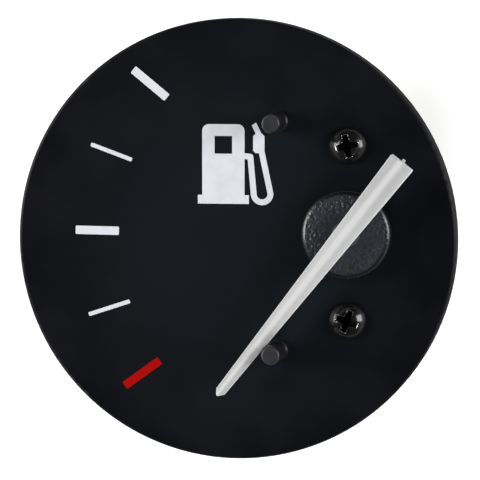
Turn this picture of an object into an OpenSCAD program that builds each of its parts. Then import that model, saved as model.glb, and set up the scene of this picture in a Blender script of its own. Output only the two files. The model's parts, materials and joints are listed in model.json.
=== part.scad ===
// Fuel gauge for an instrument cluster: round dial, pointer and crossed-coil movement.
// The dial faces up (+Z). X runs to the right and Y to the top of the dial.
// The origin is on the dial's centre line, at the level of the contact studs' ends.

/* [Dial] */
// Diameter of the dial
dial_d = 60; // [58:1:66]
// Thickness of the dial's face
dial_t = 1.2; // [0.8:0.1:1.6]
// Depth of the turned-down rim, measured from the face
rim_depth = 2.8; // [2.2:0.1:4]
// Wall of the rim
rim_wall = 1.2; // [0.8:0.1:2]
// Rounding of the dial's front edge
edge_round = 0.5; // [0.1:0.05:0.7]
// Hole in the dial round the pointer's stem
dial_hole_d = 5; // [4.4:0.1:7]
// Thickness of the printed ink
ink_t = 0.06; // [0.04:0.01:0.2]

/* [Scale] */
// Place of the scale's centre along X
scale_x = 13.2; // [11:0.1:15]
// Height of the scale's centre
scale_y = 0.6; // [-1:0.1:2]
// Radius of the circle through the ticks' middles
scale_r = 32.3; // [29:0.1:33]
// Directions of the ticks from full to empty, in degrees
mark_angles = [140.6, 159.8, 179.2, 198.3, 216.1];
// Length of a tick
mark_l = 6; // [4:0.1:7]
// Width of the full, half and empty ticks
main_mark_w = 1.15; // [0.8:0.05:1.8]
// Width of the quarter ticks
quarter_mark_w = 0.55; // [0.3:0.05:1.2]
// Rounding of the ticks' corners
mark_round = 0.15; // [0.05:0.01:0.2]

/* [Pump sign] */
// Place of the sign's plinth along X, at its middle
pump_x = -1.7; // [-4:0.1:0]
// Level of the sign's foot along Y
pump_y = 4.85; // [3:0.05:6]
// Width of the pump's body
pump_w = 5.8; // [5:0.1:7]
// Height of the sign
pump_h = 10.8; // [10:0.1:12]
// Overhang of the plinth on each side
plinth_out = 0.6; // [0.3:0.05:1]
// Height of the plinth
plinth_h = 1.2; // [0.8:0.05:2]
// Rounding of the body's top corners
pump_round = 0.9; // [0.3:0.05:1.2]
// Width and height of the window
window_w = 2.4; // [1.6:0.1:3]
// Distance of the window from the body's top
window_drop = 1.6; // [1:0.1:2.4]
// Width of the hose
hose_w = 0.8; // [0.5:0.05:1]
// Radius of the hose's bend, to its middle
hose_r = 1.15; // [1:0.05:1.3]
// Distance of the hose's hanging part from the body
hose_gap = 0.85; // [0.6:0.05:1.2]
// Height at which the hose leaves the body
hose_exit = 6.5; // [5:0.1:7]
// Width of the nozzle's body
nozzle_w = 1.55; // [1.2:0.05:1.8]
// Height of the nozzle's body
nozzle_h = 2.65; // [2.2:0.05:3]
// Distance of the nozzle's middle from the pump's body
nozzle_gap = 1.95; // [1.6:0.05:2.3]
// Level of the nozzle's foot above the sign's foot
nozzle_foot = 6.9; // [6:0.1:7.4]
// Cut of the nozzle's corners
nozzle_slant = 0.35; // [0.1:0.05:0.5]
// Length of the nozzle's spout
spout_l = 1.5; // [1:0.1:1.7]
// Width of the spout at its foot
spout_w = 0.8; // [0.6:0.05:1]

/* [Pointer] */
// Place of the spindle along X
pivot_x = 15.3; // [14.5:0.1:16]
// Place of the spindle along Y
pivot_y = 1; // [-1:0.1:2]
// Length of the needle ahead of the spindle
needle_ahead = 27.7; // [24:0.1:31]
// Length of the needle's tail behind the spindle
needle_tail = 12.7; // [9:0.1:13]
// Width of the needle at its tail
needle_tail_w = 3.6; // [3:0.05:4.5]
// Width of the needle at its tip
needle_tip_w = 1.4; // [1:0.05:2]
// Length of the two slants that form the tip
tip_slant = 0.7; // [0.4:0.05:1.2]
// Width of the blunt point
tip_flat = 0.3; // [0.2:0.05:0.6]
// Thickness of the needle at its tail, on the ridge
needle_tail_t = 2; // [1.4:0.1:2.2]
// Thickness of the needle at its tip, on the ridge
needle_tip_t = 1.1; // [0.8:0.1:1.4]
// Fall of the roof from the ridge to the tail's edges
roof_fall = 0.55; // [0.2:0.05:0.7]
// Width and length of the moulding nub on the tail
nub = 0.5; // [0.3:0.05:0.8]
// Height of the needle's underside above the dial
needle_lift = 4; // [3.6:0.1:4.4]
// Diameter of the hub cap
hub_d = 12.1; // [10:0.1:14]
// Height of the hub cap's top above the dial
hub_top = 2.7; // [2.4:0.1:3]
// Height of the hub cap's skirt above the dial
hub_gap = 0.9; // [0.6:0.1:1.2]
// Wall of the hub cap
hub_wall = 0.9; // [0.7:0.05:1.2]
// Rounding of the hub cap's edge
hub_round = 0.7; // [0.3:0.05:0.8]
// Diameter of the hub cap's stem
stem_d = 3.4; // [3:0.1:3.8]
// Length of the stem below the skirt
stem_drop = 0.4; // [0:0.1:0.6]
// Diameter of the pointer bush
bush_d = 2; // [1.7:0.1:2.4]
// Depth of the bush's seat in the hub cap's ceiling
bush_seat = 0.3; // [0.1:0.1:0.4]
// Depth of the pointer bush below the dial's face
bush_drop = 0.8; // [0.4:0.1:1.2]
// Diameter of the spigot under the needle
spigot_d = 1.4; // [1:0.1:1.8]
// Length of the spigot under the needle
spigot_l = 1.1; // [0.6:0.1:1.1]

/* [Stop pegs] */
// Place of both pegs along X
peg_x = 5.65; // [5:0.05:7]
// Middle between the pegs along Y
peg_mid_y = 0.5; // [-1:0.1:2]
// Distance between the pegs
peg_spacing = 31.1; // [29:0.1:33]
// Diameter of a peg
peg_d = 2.6; // [2.2:0.1:3.2]
// Height of a peg above the dial
peg_h = 6.8; // [6.3:0.1:9]
// Rounding of a peg's top
peg_round = 0.5; // [0.2:0.05:0.9]
// Diameter of the collar at a peg's foot
peg_collar_d = 3; // [2.8:0.1:4]
// Height of the collar
peg_collar_h = 0.4; // [0.2:0.05:0.8]
// Diameter of a peg's shank in the dial
peg_shank_d = 1.8; // [1.4:0.1:2]
// Height of the staked head behind the dial
peg_stake_h = 0.6; // [0.4:0.1:1]
// Play between the needle and a peg at each end of the travel
peg_play = 0.1; // [0.1:0.01:0.4]

/* [Screws] */
// Distance between the two dial screws
dial_screw_spacing = 23.7; // [23:0.1:25]
// Thread diameter of all screws
screw_d = 2.5; // [2:0.1:2.6]
// Head diameter of all screws
screw_head_d = 5; // [4:0.1:5]
// Head height of all screws
screw_head_h = 1.7; // [1.4:0.1:1.9]
// Rounding of the screw heads
screw_head_round = 1.1; // [0.4:0.1:1.2]
// Length of the dial screws under the head
dial_screw_l = 6; // [5:0.1:6.2]
// Length of the spacer screws under the head
spacer_screw_l = 5.5; // [4.5:0.1:7]
// Width across the cross recess
recess_l = 3.2; // [2.6:0.1:3.4]
// Width of one arm of the cross recess
recess_w = 0.75; // [0.5:0.05:0.9]
// Depth of the cross recess
recess_h = 1; // [0.6:0.1:1.2]
// Turn of the upper and the lower dial screw, in degrees
dial_screw_turns = [12, -20];
// Play of a screw in a clearance hole
screw_play = 0.2; // [0.1:0.05:0.3]
// Depth of a screw's hole past the screw's end
hole_rest = 0.4; // [0.2:0.1:0.6]

/* [Bridge] */
// Thickness of the bridge plate
bridge_t = 2; // [1.6:0.1:3]
// Height of the bosses under the dial
boss_h = 4; // [3.6:0.1:6]
// Diameter of the bosses under the dial
boss_d = 5.6; // [4.8:0.1:6.4]
// Overhang of the bridge plate over the can
bridge_out = 0.6; // [0.3:0.1:1]
// Width of the two arms that reach to the spacers
arm_w = 6.6; // [5.6:0.1:7.4]
// Distance of a spacer from the spindle
spacer_reach = 17.6; // [17:0.1:18.4]
// Direction of a spacer, either side of the -X direction
spacer_angle = 45; // [40:1:48]
// Width across the flats of a spacer
spacer_flats = 5; // [4.5:0.1:5.4]

/* [Movement] */
// Diameter of the spindle
spindle_d = 1.2; // [0.9:0.1:1.4]
// Running clearance of the spindle in its bearings, on the radius
run_gap = 0.05; // [0.02:0.01:0.09]
// Diameter of the rotor magnet
rotor_d = 10; // [8.5:0.1:11]
// Thickness of the rotor magnet
rotor_t = 3.4; // [2.4:0.1:4]
// Air round the rotor magnet
rotor_air = 0.7; // [0.5:0.1:0.8]
// Wall between the rotor chamber and the windings, at the sides
core_wall = 1.1; // [0.9:0.1:1.3]
// Wall between the rotor chamber and the windings, above and below
core_floor = 2.4; // [2:0.1:3]
// Thickness of a winding
coil_t = 1.2; // [0.9:0.1:1.4]
// Width of one winding bundle
coil_w = 3.3; // [2.8:0.1:3.7]
// Inner rounding of a winding's corners
coil_round = 0.6; // [0.3:0.05:1]
// Space between a winding and the bobbin
coil_fit = 0.1; // [0.05:0.01:0.15]
// Diameter of the bobbin's middle boss
bobbin_boss_d = 4; // [3.6:0.1:4.4]
// Diameter of the bobbin
bobbin_d = 20; // [18.6:0.1:21.6]
// Height of the bobbin's ends past the outer winding
bobbin_end = 0.3; // [0.2:0.05:0.6]
// Diameter of the bearing bushes
bearing_d = 2.6; // [2:0.1:3]
// Length of the bearing bushes
bearing_l = 4; // [3:0.1:4.4]
// Floor of the closed lower bearing
bearing_floor = 0.8; // [0.5:0.1:1.2]
// End play of the spindle
end_play = 0.3; // [0.2:0.05:0.4]
// Diameter of the return magnet
return_d = 1.2; // [0.8:0.1:1.4]
// Length of the return magnet
return_l = 5; // [3:0.1:6]
// Wall of the shield can
can_wall = 0.8; // [0.5:0.05:1]
// Space between the bobbin and the shield can
can_fit = 0.2; // [0.1:0.05:0.3]
// Width of the wire notches in the can
notch_w = 2.4; // [1.6:0.1:3]
// Height of a wire notch above the wire
notch_over = 0.9; // [0.5:0.1:1.4]

/* [Terminal base] */
// Place of the stud circle's centre along X
stud_circle_x = 3.6; // [3.2:0.1:4]
// Diameter of the circle through the studs
stud_pcd = 37.2; // [35:0.1:38]
// Thread diameter of the studs
stud_d = 4; // [3:0.1:4]
// Length of the studs below the base
stud_free = 10; // [9.5:0.5:14]
// Diameter of the plain contact pin at a stud's end
pin_d = 3.2; // [2.6:0.1:3.4]
// Length of the contact pin
pin_l = 5.6; // [4:0.1:5.8]
// Width across the flats of a stud's head
stud_head_flats = 6; // [5.5:0.1:6.2]
// Height of a stud's head
stud_head_h = 2; // [1.5:0.1:3]
// Chamfer at the studs' ends and at the thread's start
stud_chamfer = 0.4; // [0.2:0.05:0.6]
// Thickness of the base
base_t = 2.6; // [2.2:0.1:4]
// Depth of the ribs under the base
rib_h = 2; // [1.9:0.1:3]
// Thickness of the ribs
rib_w = 1.4; // [1:0.1:2]
// Diameter of the ring that the ribs run from
base_ring_d = 9; // [7:0.5:11]
// Edge of the base outside the stud circle
base_margin = 5.2; // [4.8:0.1:5.6]
// Distance of the base from the dial's edge, seen from the front
base_inset = 2.8; // [2.6:0.1:3.2]
// Diameter of the bosses round the studs
stud_boss_d = 9; // [8.4:0.1:9.2]
// Depth of the can's seat in the base
can_seat = 0.6; // [0.3:0.1:1]
// Diameter of the locating pin
locator_d = 3; // [2:0.1:4]
// Distance of the locating pin from the stud circle's centre, towards +X
locator_reach = 15; // [13:0.5:17]
// Length of the locating pin below the base
locator_l = 4; // [2:0.1:6]
// Width across the flats of a nut
nut_flats = 7; // [6.4:0.1:7.2]
// Thickness of a nut
nut_t = 2.4; // [1.8:0.1:3.2]
// Outer diameter of a lock washer
washer_d = 7; // [6.4:0.1:7.4]
// Thickness of a lock washer
washer_t = 0.9; // [0.6:0.1:1.2]
// Slit of a lock washer
washer_slit = 0.5; // [0.3:0.1:0.8]
// Play of a nut's or a screw's thread
thread_play = 0.02; // [0.01:0.01:0.05]
// Play of a tag or a washer on its stud
tag_play = 0.1; // [0.05:0.05:0.3]
// Thickness of a solder tag
tag_t = 0.5; // [0.3:0.05:0.7]
// Diameter of a tag's ring
tag_ring_d = 6.6; // [6:0.1:7]
// Width of a tag's lug
lug_w = 2.6; // [2.2:0.1:3]
// Height of a tag's lug above the base
lug_h = 3.8; // [3.4:0.1:5]
// Distance of a lug from its stud
lug_reach = 4.6; // [4.2:0.1:5]
// Diameter of the coil wires
lead_d = 0.4; // [0.2:0.05:0.5]
// Diameter of the resistor's body
resistor_d = 3; // [2:0.1:3.2]
// Length of the resistor's body
resistor_l = 6.5; // [5:0.1:8]
// Length of the resistor's end caps
resistor_cap = 1.3; // [0.8:0.1:1.8]
// Depth of the waist between the end caps
resistor_waist = 0.15; // [0.05:0.05:0.3]
// Rounding of the resistor's ends
resistor_round = 0.5; // [0.2:0.05:0.7]
// Diameter of the resistor's wires
leg_d = 0.6; // [0.4:0.05:0.8]

/* [Hidden] */
$fn = 96;
eps = 0.01;

// Bobbin and windings, measured from the rotor's middle
chamber_r = rotor_d / 2 + rotor_air;
chamber_h = rotor_t + 2 * rotor_air;
coil_in_l = chamber_r + core_wall;
inner_coil_h = chamber_h / 2 + core_floor;
outer_coil_h = inner_coil_h + coil_t + coil_fit;
coil_x = bobbin_boss_d / 2 + coil_fit + coil_w / 2;
bobbin_h = 2 * (outer_coil_h + coil_t + bobbin_end);
coil_corner = norm([coil_in_l + coil_t, coil_x + coil_w / 2]);
can_in_r = max(bobbin_d / 2, coil_corner) + can_fit;
can_r = can_in_r + can_wall;

// Return magnet as deep in its post as in from the bobbin's edge
post_in = coil_x + coil_w / 2 + coil_fit;
return_place = (post_in + bobbin_d / 2) / (1 + sqrt(1 / 2));

// Levels from the studs' ends to the top of the pegs
z_plate = stud_free + rib_h;
z_base = z_plate + base_t;
z_can = z_base - can_seat;
z_bobbin = z_can + can_wall;
z_rotor = z_bobbin + bobbin_h / 2;
z_bridge = z_bobbin + bobbin_h;
z_seat = z_bridge + bridge_t;
z_back = z_seat + boss_h;
z_face = z_back + dial_t;
z_needle = z_face + needle_lift;
spindle_top = z_face + hub_top - hub_wall;
spindle_foot = z_bobbin + bearing_floor + end_play;

// Places seen from the front
nozzle_x = pump_w / 2 + nozzle_gap;
dial_r = dial_d / 2;
pivot = [pivot_x, pivot_y];
stud_circle = [stud_circle_x, pivot_y];
stud_angles = [180, 60, -60];
stud_at = [for (a = stud_angles) stud_circle + stud_pcd / 2 * [cos(a), sin(a)]];
spacer_at = [for (s = [1, -1])
             pivot + spacer_reach * [-cos(spacer_angle), s * sin(spacer_angle)]];
dial_screw_at = [for (s = [1, -1]) pivot + [0, s * dial_screw_spacing / 2]];
peg_at = [for (s = [1, -1]) [peg_x, peg_mid_y + s * peg_spacing / 2]];
locator_at = stud_circle + [locator_reach, 0];
lug_turns = [0, 180, 180];

// Travel of the needle between the pegs
taper = atan((needle_tail_w - needle_tip_w) / 2 / (needle_tail + needle_ahead));
pivot_half_w = needle_tip_w / 2 + needle_ahead * tan(taper);
function peg_reach(p) = norm(p - pivot);
function peg_angle(p) = (atan2(p[1] - pivot_y, p[0] - pivot_x) + 360) % 360;
function contact_angle(p) =
    asin((peg_d / 2 + peg_play + pivot_half_w * cos(taper)) / peg_reach(p)) - taper;
rest_angle = peg_angle(peg_at[1]) - contact_angle(peg_at[1]);

// Coil wires: the front one to the first tag, the side ones down to the other two
lead_z = z_base + resistor_d / 2 + thread_play;
lug_face = lug_reach + tag_t / 2;
lug_back = lug_reach - tag_t / 2;
front_lead = [[pivot_x - coil_in_l - coil_t, pivot_y + coil_x, lead_z],
              [stud_at[0][0] + lug_face + lead_d / 4, pivot_y - lug_w / 4, lead_z]];
at_wall = (pivot_x - can_in_r - can_wall / 2 - front_lead[0][0]) / (front_lead[1][0] - front_lead[0][0]);
front_notch_y = front_lead[0][1] + at_wall * (front_lead[1][1] - front_lead[0][1]);
side_lead_z = z_rotor - inner_coil_h + coil_round + coil_t;
side_lead = [[pivot_x - coil_x, coil_in_l + coil_t + lead_d / 2],
             [stud_at[1][0] - lug_back + lead_d / 2, stud_at[1][1] - pivot_y]];
side_wall = sqrt(pow(can_in_r + can_wall / 2, 2) - pow(coil_x, 2));
side_at_wall = (side_wall - side_lead[0][1]) / (side_lead[1][1] - side_lead[0][1]);
side_notch_x = side_lead[0][0] + side_at_wall * (side_lead[1][0] - side_lead[0][0]);

// Resistor's wires: from the first tag to a bend midway between a spacer and the can, then to the second tag
spacer_in = spacer_reach - spacer_flats / 2 / cos(30);
leg_bend_at = pivot + (can_r + spacer_in) / 2 * [-cos(spacer_angle), sin(spacer_angle)];
leg_start = [stud_at[0][0] + lug_face + leg_d / 2, stud_at[0][1] + lug_w / 4, lead_z];
leg_bend = [leg_bend_at[0], leg_bend_at[1], lead_z];
leg_end = [stud_at[1][0] - lug_face - leg_d / 2, stud_at[1][1] - lug_w / 4, lead_z];
leg_run = (leg_bend - leg_start) / norm(leg_bend - leg_start);
resistor_foot = leg_start + leg_run * (norm(leg_bend - leg_start) - resistor_l) / 2;

// Flat and profile helpers

// Rectangle about the origin with round corners
module round_rect(w, h, r) {
    square([w - 2 * r, h], center = true);
    square([w, h - 2 * r], center = true);
    for (x = [-1, 1], y = [-1, 1])
        translate([x * (w / 2 - r), y * (h / 2 - r)])
            circle(r);
}

// What rounding takes off the upper outer corner of a profile at (x, y)
module corner_off(x, y, r) {
    translate([x - r, y - r])
        difference() {
            square(2 * r);
            circle(r);
        }
}

// Flat bar of width w from a to b
module bar(a, b, w) {
    translate(a)
        rotate(atan2(b[1] - a[1], b[0] - a[0]))
            translate([0, -w / 2])
                square([norm(b - a), w]);
}

// Round wire of diameter d from a to b
module wire(a, b, d) {
    v = b - a;
    translate(a)
        rotate([0, acos(v[2] / norm(v)), atan2(v[1], v[0])])
            cylinder(h = norm(v), d = d, $fn = 32);
}

// Level wire of diameter d from a over b to c, mitred at b
module bent_wire(a, b, c, d) {
    u = (b - a) / norm(b - a);
    v = (c - b) / norm(c - b);
    for (leg = [[a, b + u * d, 0], [c, b - v * d, -2 * d]])
        difference() {
            wire(leg[0], leg[1], d);
            translate(b)
                rotate(atan2(u[1] + v[1], u[0] + v[0]))
                    translate([leg[2], -d, -d])
                        cube(2 * d);
        }
}

// Pan-head screw with a cross recess, seat at the origin and shank down
module pan_screw(l, turn) {
    rotate(turn)
        difference() {
            rotate_extrude()
                difference() {
                    union() {
                        square([screw_head_d / 2, screw_head_h]);
                        translate([0, -l])
                            square([screw_d / 2, l + eps]);
                    }
                    corner_off(screw_head_d / 2, screw_head_h, screw_head_round);
                }
            for (a = [0, 90])
                rotate(a)
                    translate([-recess_l / 2, -recess_w / 2, screw_head_h - recess_h])
                        cube([recess_l, recess_w, recess_h + eps]);
        }
}

// Dial

// Black disc with a turned-down rim
module dial_plate() {
    color([0.09, 0.09, 0.1])
        difference() {
            translate([0, 0, z_back])
                rotate_extrude($fn = 180)
                    difference() {
                        union() {
                            square([dial_r, dial_t]);
                            translate([dial_r - rim_wall, dial_t - rim_depth])
                                square([rim_wall, rim_depth]);
                        }
                        corner_off(dial_r, dial_t, edge_round);
                    }
            translate([pivot_x, pivot_y, z_back - eps])
                cylinder(h = dial_t + 2 * eps, d = dial_hole_d);
            for (p = dial_screw_at)
                translate([p[0], p[1], z_back - eps])
                    cylinder(h = dial_t + 2 * eps, d = screw_d + 2 * screw_play);
            for (p = peg_at)
                translate([p[0], p[1], z_back - eps])
                    cylinder(h = dial_t + 2 * eps, d = peg_shank_d + 2 * thread_play);
        }
}

// One printed tick of the scale
module tick(i, w) {
    translate([scale_x, scale_y, z_face])
        rotate(mark_angles[i])
            translate([scale_r, 0])
                linear_extrude(ink_t)
                    round_rect(mark_l, w, mark_round);
}

module scale_marks() {
    color("white") {
        for (i = [0, 2])
            tick(i, main_mark_w);
        for (i = [1, 3])
            tick(i, quarter_mark_w);
    }
}

module empty_mark() {
    color([0.7, 0.06, 0.03])
        tick(4, main_mark_w);
}

// Pump body on its plinth, about the middle of its foot
module pump_body() {
    difference() {
        translate([-pump_w / 2, 0])
            square([pump_w, pump_h]);
        corner_off(pump_w / 2, pump_h, pump_round);
        mirror([1, 0])
            corner_off(pump_w / 2, pump_h, pump_round);
        translate([0, pump_h - window_drop - window_w / 2])
            square(window_w, center = true);
    }
    translate([-pump_w / 2 - plinth_out, 0])
        square([pump_w + 2 * plinth_out, plinth_h]);
}

// Hose that leaves the body, hangs in a round bend and rises to the nozzle
module pump_hose() {
    exit = [pump_w / 2 - eps, hose_exit];
    knee = [pump_w / 2 + hose_w, hose_exit - hose_w / 8];
    bend = [pump_w / 2 + hose_gap + hose_w / 2 + hose_r, plinth_h + hose_w / 4];
    left = bend - [hose_r, 0];
    right = bend + [hose_r, 0];
    bar(exit, knee, hose_w);
    for (p = [knee, left, right])
        translate(p)
            circle(d = hose_w, $fn = 32);
    bar(knee, left, hose_w);
    bar(right, [nozzle_x + nozzle_w / 4, nozzle_foot + hose_w / 4], hose_w);
    difference() {
        translate(bend)
            circle(hose_r + hose_w / 2);
        translate(bend)
            circle(hose_r - hose_w / 2);
        translate(bend - [2 * hose_r, 0])
            square([4 * hose_r, 2 * hose_r]);
    }
}

// Nozzle: a body with cut corners and a spout that leans to the pump
module pump_nozzle() {
    c = nozzle_slant;
    side = nozzle_w / 2;
    translate([nozzle_x, nozzle_foot]) {
        polygon([[c - side, 0], [side - c, 0], [side, c], [side, nozzle_h - c], [side - c, nozzle_h],
                 [c - side, nozzle_h], [-side, nozzle_h - c], [-side, c]]);
        polygon([[c - side, nozzle_h - eps], [c - side + spout_w, nozzle_h - eps],
                 [spout_w / 2 - side, nozzle_h + spout_l],
                 [-spout_w / 4 - side, nozzle_h + spout_l * 3 / 4]]);
    }
}

module pump_sign() {
    color("white")
        translate([pump_x, pump_y, z_face])
            linear_extrude(ink_t) {
                pump_body();
                pump_hose();
                pump_nozzle();
            }
}

// Pegs with a collar on the dial and a staked tail behind it
module stop_pegs() {
    color([0.08, 0.08, 0.09])
        for (p = peg_at)
            translate([p[0], p[1], z_face])
                rotate_extrude()
                    difference() {
                        union() {
                            square([peg_d / 2, peg_h]);
                            square([peg_collar_d / 2, peg_collar_h]);
                            translate([0, -dial_t - peg_stake_h])
                                square([peg_shank_d / 2, dial_t + peg_stake_h + eps]);
                            translate([0, -dial_t - peg_stake_h])
                                square([peg_d / 2, peg_stake_h]);
                        }
                        corner_off(peg_d / 2, peg_h, peg_round);
                    }
}

module dial_screws() {
    color([0.16, 0.16, 0.17])
        for (i = [0, 1])
            translate([dial_screw_at[i][0], dial_screw_at[i][1], z_face])
                pan_screw(dial_screw_l, dial_screw_turns[i]);
}

// Pointer

// Roof-shaped needle along its own +X, spindle at the origin
module needle_blade() {
    tip = needle_ahead;
    shoulder = needle_ahead - tip_slant;
    pitch = atan((needle_tail_t - needle_tip_t) / (needle_tail + needle_ahead));
    intersection() {
        linear_extrude(needle_tail_t)
            polygon([[-needle_tail, -needle_tail_w / 2], [shoulder, -needle_tip_w / 2], [tip, -tip_flat / 2],
                     [tip, tip_flat / 2], [shoulder, needle_tip_w / 2], [-needle_tail, needle_tail_w / 2]]);
        translate([-needle_tail, 0, needle_tail_t])
            rotate([0, pitch, 0])
                rotate([90, 0, 90])
                    translate([0, 0, -needle_tail_t])
                        linear_extrude(needle_tail + needle_ahead + 2 * needle_tail_t)
                            polygon([[-needle_tail_w / 2, -roof_fall], [0, 0],
                                     [needle_tail_w / 2, -roof_fall],
                                     [needle_tail_w / 2, -2 * needle_tail_t],
                                     [-needle_tail_w / 2, -2 * needle_tail_t]]);
    }
}

module needle() {
    color([0.86, 0.86, 0.85])
        translate([pivot_x, pivot_y, z_needle])
            rotate(rest_angle) {
                needle_blade();
                translate([-needle_tail - nub, -nub / 2, needle_tip_t / 4])
                    cube([nub + eps, nub, needle_tip_t / 2]);
                translate([0, 0, -spigot_l])
                    cylinder(h = spigot_l + eps, d = spigot_d);
            }
}

// Hollow cap with a stem for the bush below and the needle's spigot above
module hub_cap() {
    ceiling = hub_top - hub_wall;
    color([0.2, 0.2, 0.22])
        translate([pivot_x, pivot_y, z_face])
            rotate_extrude()
                difference() {
                    union() {
                        difference() {
                            translate([0, hub_gap])
                                square([hub_d / 2, hub_top - hub_gap]);
                            translate([stem_d / 2, hub_gap - eps])
                                square([hub_d / 2 - hub_wall - stem_d / 2, ceiling - hub_gap + eps]);
                            corner_off(hub_d / 2, hub_top, hub_round);
                        }
                        translate([0, hub_gap - stem_drop])
                            square([stem_d / 2, needle_lift - hub_gap + stem_drop]);
                    }
                    translate([0, -hub_gap])
                        square([bush_d / 2, ceiling + bush_seat + hub_gap]);
                    translate([0, needle_lift - spigot_l])
                        square([spigot_d / 2, spigot_l + eps]);
                }
}

// Brass bush between the hub cap and the spindle
module pointer_bush() {
    color([0.8, 0.62, 0.3])
        translate([pivot_x, pivot_y, z_face - bush_drop])
            difference() {
                cylinder(h = bush_drop + hub_top - hub_wall + bush_seat, d = bush_d);
                translate([0, 0, -eps])
                    cylinder(h = spindle_top - z_face + bush_drop + eps, d = spindle_d);
            }
}

module spindle() {
    color([0.7, 0.71, 0.73])
        translate([pivot_x, pivot_y, spindle_foot])
            cylinder(h = spindle_top - spindle_foot, d = spindle_d);
}

module rotor_magnet() {
    color([0.22, 0.22, 0.24])
        translate([pivot_x, pivot_y, z_rotor - rotor_t / 2])
            difference() {
                cylinder(h = rotor_t, d = rotor_d);
                translate([0, 0, -eps])
                    cylinder(h = rotor_t + 2 * eps, d = spindle_d);
            }
}

// Movement

// Two bundles that run round the bobbin lengthwise in the YZ plane, either side of the spindle
module winding(half_l, half_h, t, w) {
    for (s = [-1, 1])
        translate([s * coil_x, 0, 0])
            rotate([90, 0, 90])
                linear_extrude(w, center = true)
                    difference() {
                        round_rect(2 * (half_l + t), 2 * (half_h + t), coil_round + t);
                        round_rect(2 * half_l, 2 * half_h, coil_round);
                    }
}

// Room for one winding, open to the outside of the bobbin
module channel(half_l, half_h) {
    for (s = [-1, 1])
        translate([s * coil_x, 0, 0])
            rotate([90, 0, 90])
                linear_extrude(coil_w + 2 * coil_fit, center = true)
                    difference() {
                        square([2 * bobbin_d, 2 * bobbin_h], center = true);
                        round_rect(2 * (half_l - coil_fit), 2 * (half_h - coil_fit), coil_round);
                    }
}

// Half of the bobbin, cut at the rotor's middle: side is -1 for the lower and 1 for the upper half
module bobbin_half(side) {
    foot = side < 0 ? -bobbin_h / 2 : 0;
    difference() {
        translate([0, 0, foot])
            cylinder(h = bobbin_h / 2, d = bobbin_d);
        channel(coil_in_l, inner_coil_h);
        rotate(90)
            channel(coil_in_l, outer_coil_h);
        cylinder(h = chamber_h, r = chamber_r, center = true);
        translate([0, 0, side * bobbin_h / 2])
            cylinder(h = 2 * bearing_l, d = bearing_d, center = true);
        cylinder(h = bobbin_h, d = spindle_d + 4 * run_gap, center = true);
        if (side > 0)
            rotate(-45)
                translate([return_place, 0, bobbin_h / 2 - return_l])
                    cylinder(h = return_l + eps, d = return_d, $fn = 32);
    }
}

module at_rotor() {
    translate([pivot_x, pivot_y, z_rotor])
        children();
}

module lower_bobbin() {
    color([0.85, 0.84, 0.78])
        at_rotor()
            bobbin_half(-1);
}

module upper_bobbin() {
    color([0.85, 0.84, 0.78])
        at_rotor()
            bobbin_half(1);
}

module inner_coil() {
    color([0.62, 0.28, 0.12])
        at_rotor()
            winding(coil_in_l, inner_coil_h, coil_t, coil_w);
}

module outer_coil() {
    color([0.7, 0.36, 0.16])
        at_rotor()
            rotate(90)
                winding(coil_in_l, outer_coil_h, coil_t, coil_w);
}

// Closed bush that the spindle stands in
module lower_bearing() {
    color([0.8, 0.62, 0.3])
        translate([pivot_x, pivot_y, z_bobbin])
            difference() {
                cylinder(h = bearing_l, d = bearing_d);
                translate([0, 0, bearing_floor])
                    cylinder(h = bearing_l, d = spindle_d + 2 * run_gap);
            }
}

module upper_bearing() {
    color([0.8, 0.62, 0.3])
        translate([pivot_x, pivot_y, z_bridge - bearing_l])
            difference() {
                cylinder(h = bearing_l, d = bearing_d);
                translate([0, 0, -eps])
                    cylinder(h = bearing_l + 2 * eps, d = spindle_d + 2 * run_gap);
            }
}

module return_magnet() {
    color([0.3, 0.3, 0.32])
        at_rotor()
            rotate(-45)
                translate([return_place, 0, bobbin_h / 2 - return_l])
                    cylinder(h = return_l, d = return_d, $fn = 32);
}

// Drawn cup with a notch at its foot for each coil wire
module shield_can() {
    side_notch_h = side_lead_z - z_can + notch_over;
    front_notch_h = lead_z - z_can + notch_over;
    color([0.66, 0.68, 0.7])
        translate([pivot_x, pivot_y, z_can])
            difference() {
                cylinder(h = z_bridge - z_can, r = can_r);
                translate([0, 0, can_wall])
                    cylinder(h = z_bridge - z_can, r = can_in_r);
                for (s = [-1, 1])
                    translate([side_notch_x - pivot_x - notch_w / 2, s > 0 ? 0 : -2 * can_r, can_wall])
                        cube([notch_w, 2 * can_r, side_notch_h - can_wall]);
                translate([-2 * can_r, front_notch_y - pivot_y - notch_w / 2, can_wall])
                    cube([2 * can_r, notch_w, front_notch_h - can_wall]);
            }
}

// Bridge: a round plate over the can, two arms and the bosses that carry the dial
module bridge_plate() {
    boss_bore_l = dial_screw_l - dial_t + hole_rest;
    color([0.13, 0.13, 0.14])
        difference() {
            union() {
                translate([0, 0, z_bridge])
                    linear_extrude(bridge_t) {
                        translate(pivot)
                            circle(can_r + bridge_out);
                        for (p = spacer_at) {
                            bar(pivot, p, arm_w);
                            translate(p)
                                circle(d = arm_w);
                        }
                        for (p = dial_screw_at)
                            translate(p)
                                circle(d = boss_d);
                    }
                for (p = dial_screw_at)
                    translate([p[0], p[1], z_bridge])
                        cylinder(h = bridge_t + boss_h, d = boss_d);
            }
            translate([pivot_x, pivot_y, z_bridge - eps])
                cylinder(h = bridge_t + 2 * eps, d = bearing_d);
            for (p = spacer_at)
                translate([p[0], p[1], z_bridge - eps])
                    cylinder(h = bridge_t + 2 * eps, d = screw_d + 2 * screw_play);
            for (p = dial_screw_at)
                translate([p[0], p[1], z_back - boss_bore_l])
                    cylinder(h = boss_bore_l + eps, d = screw_d + 2 * thread_play);
        }
}

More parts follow.
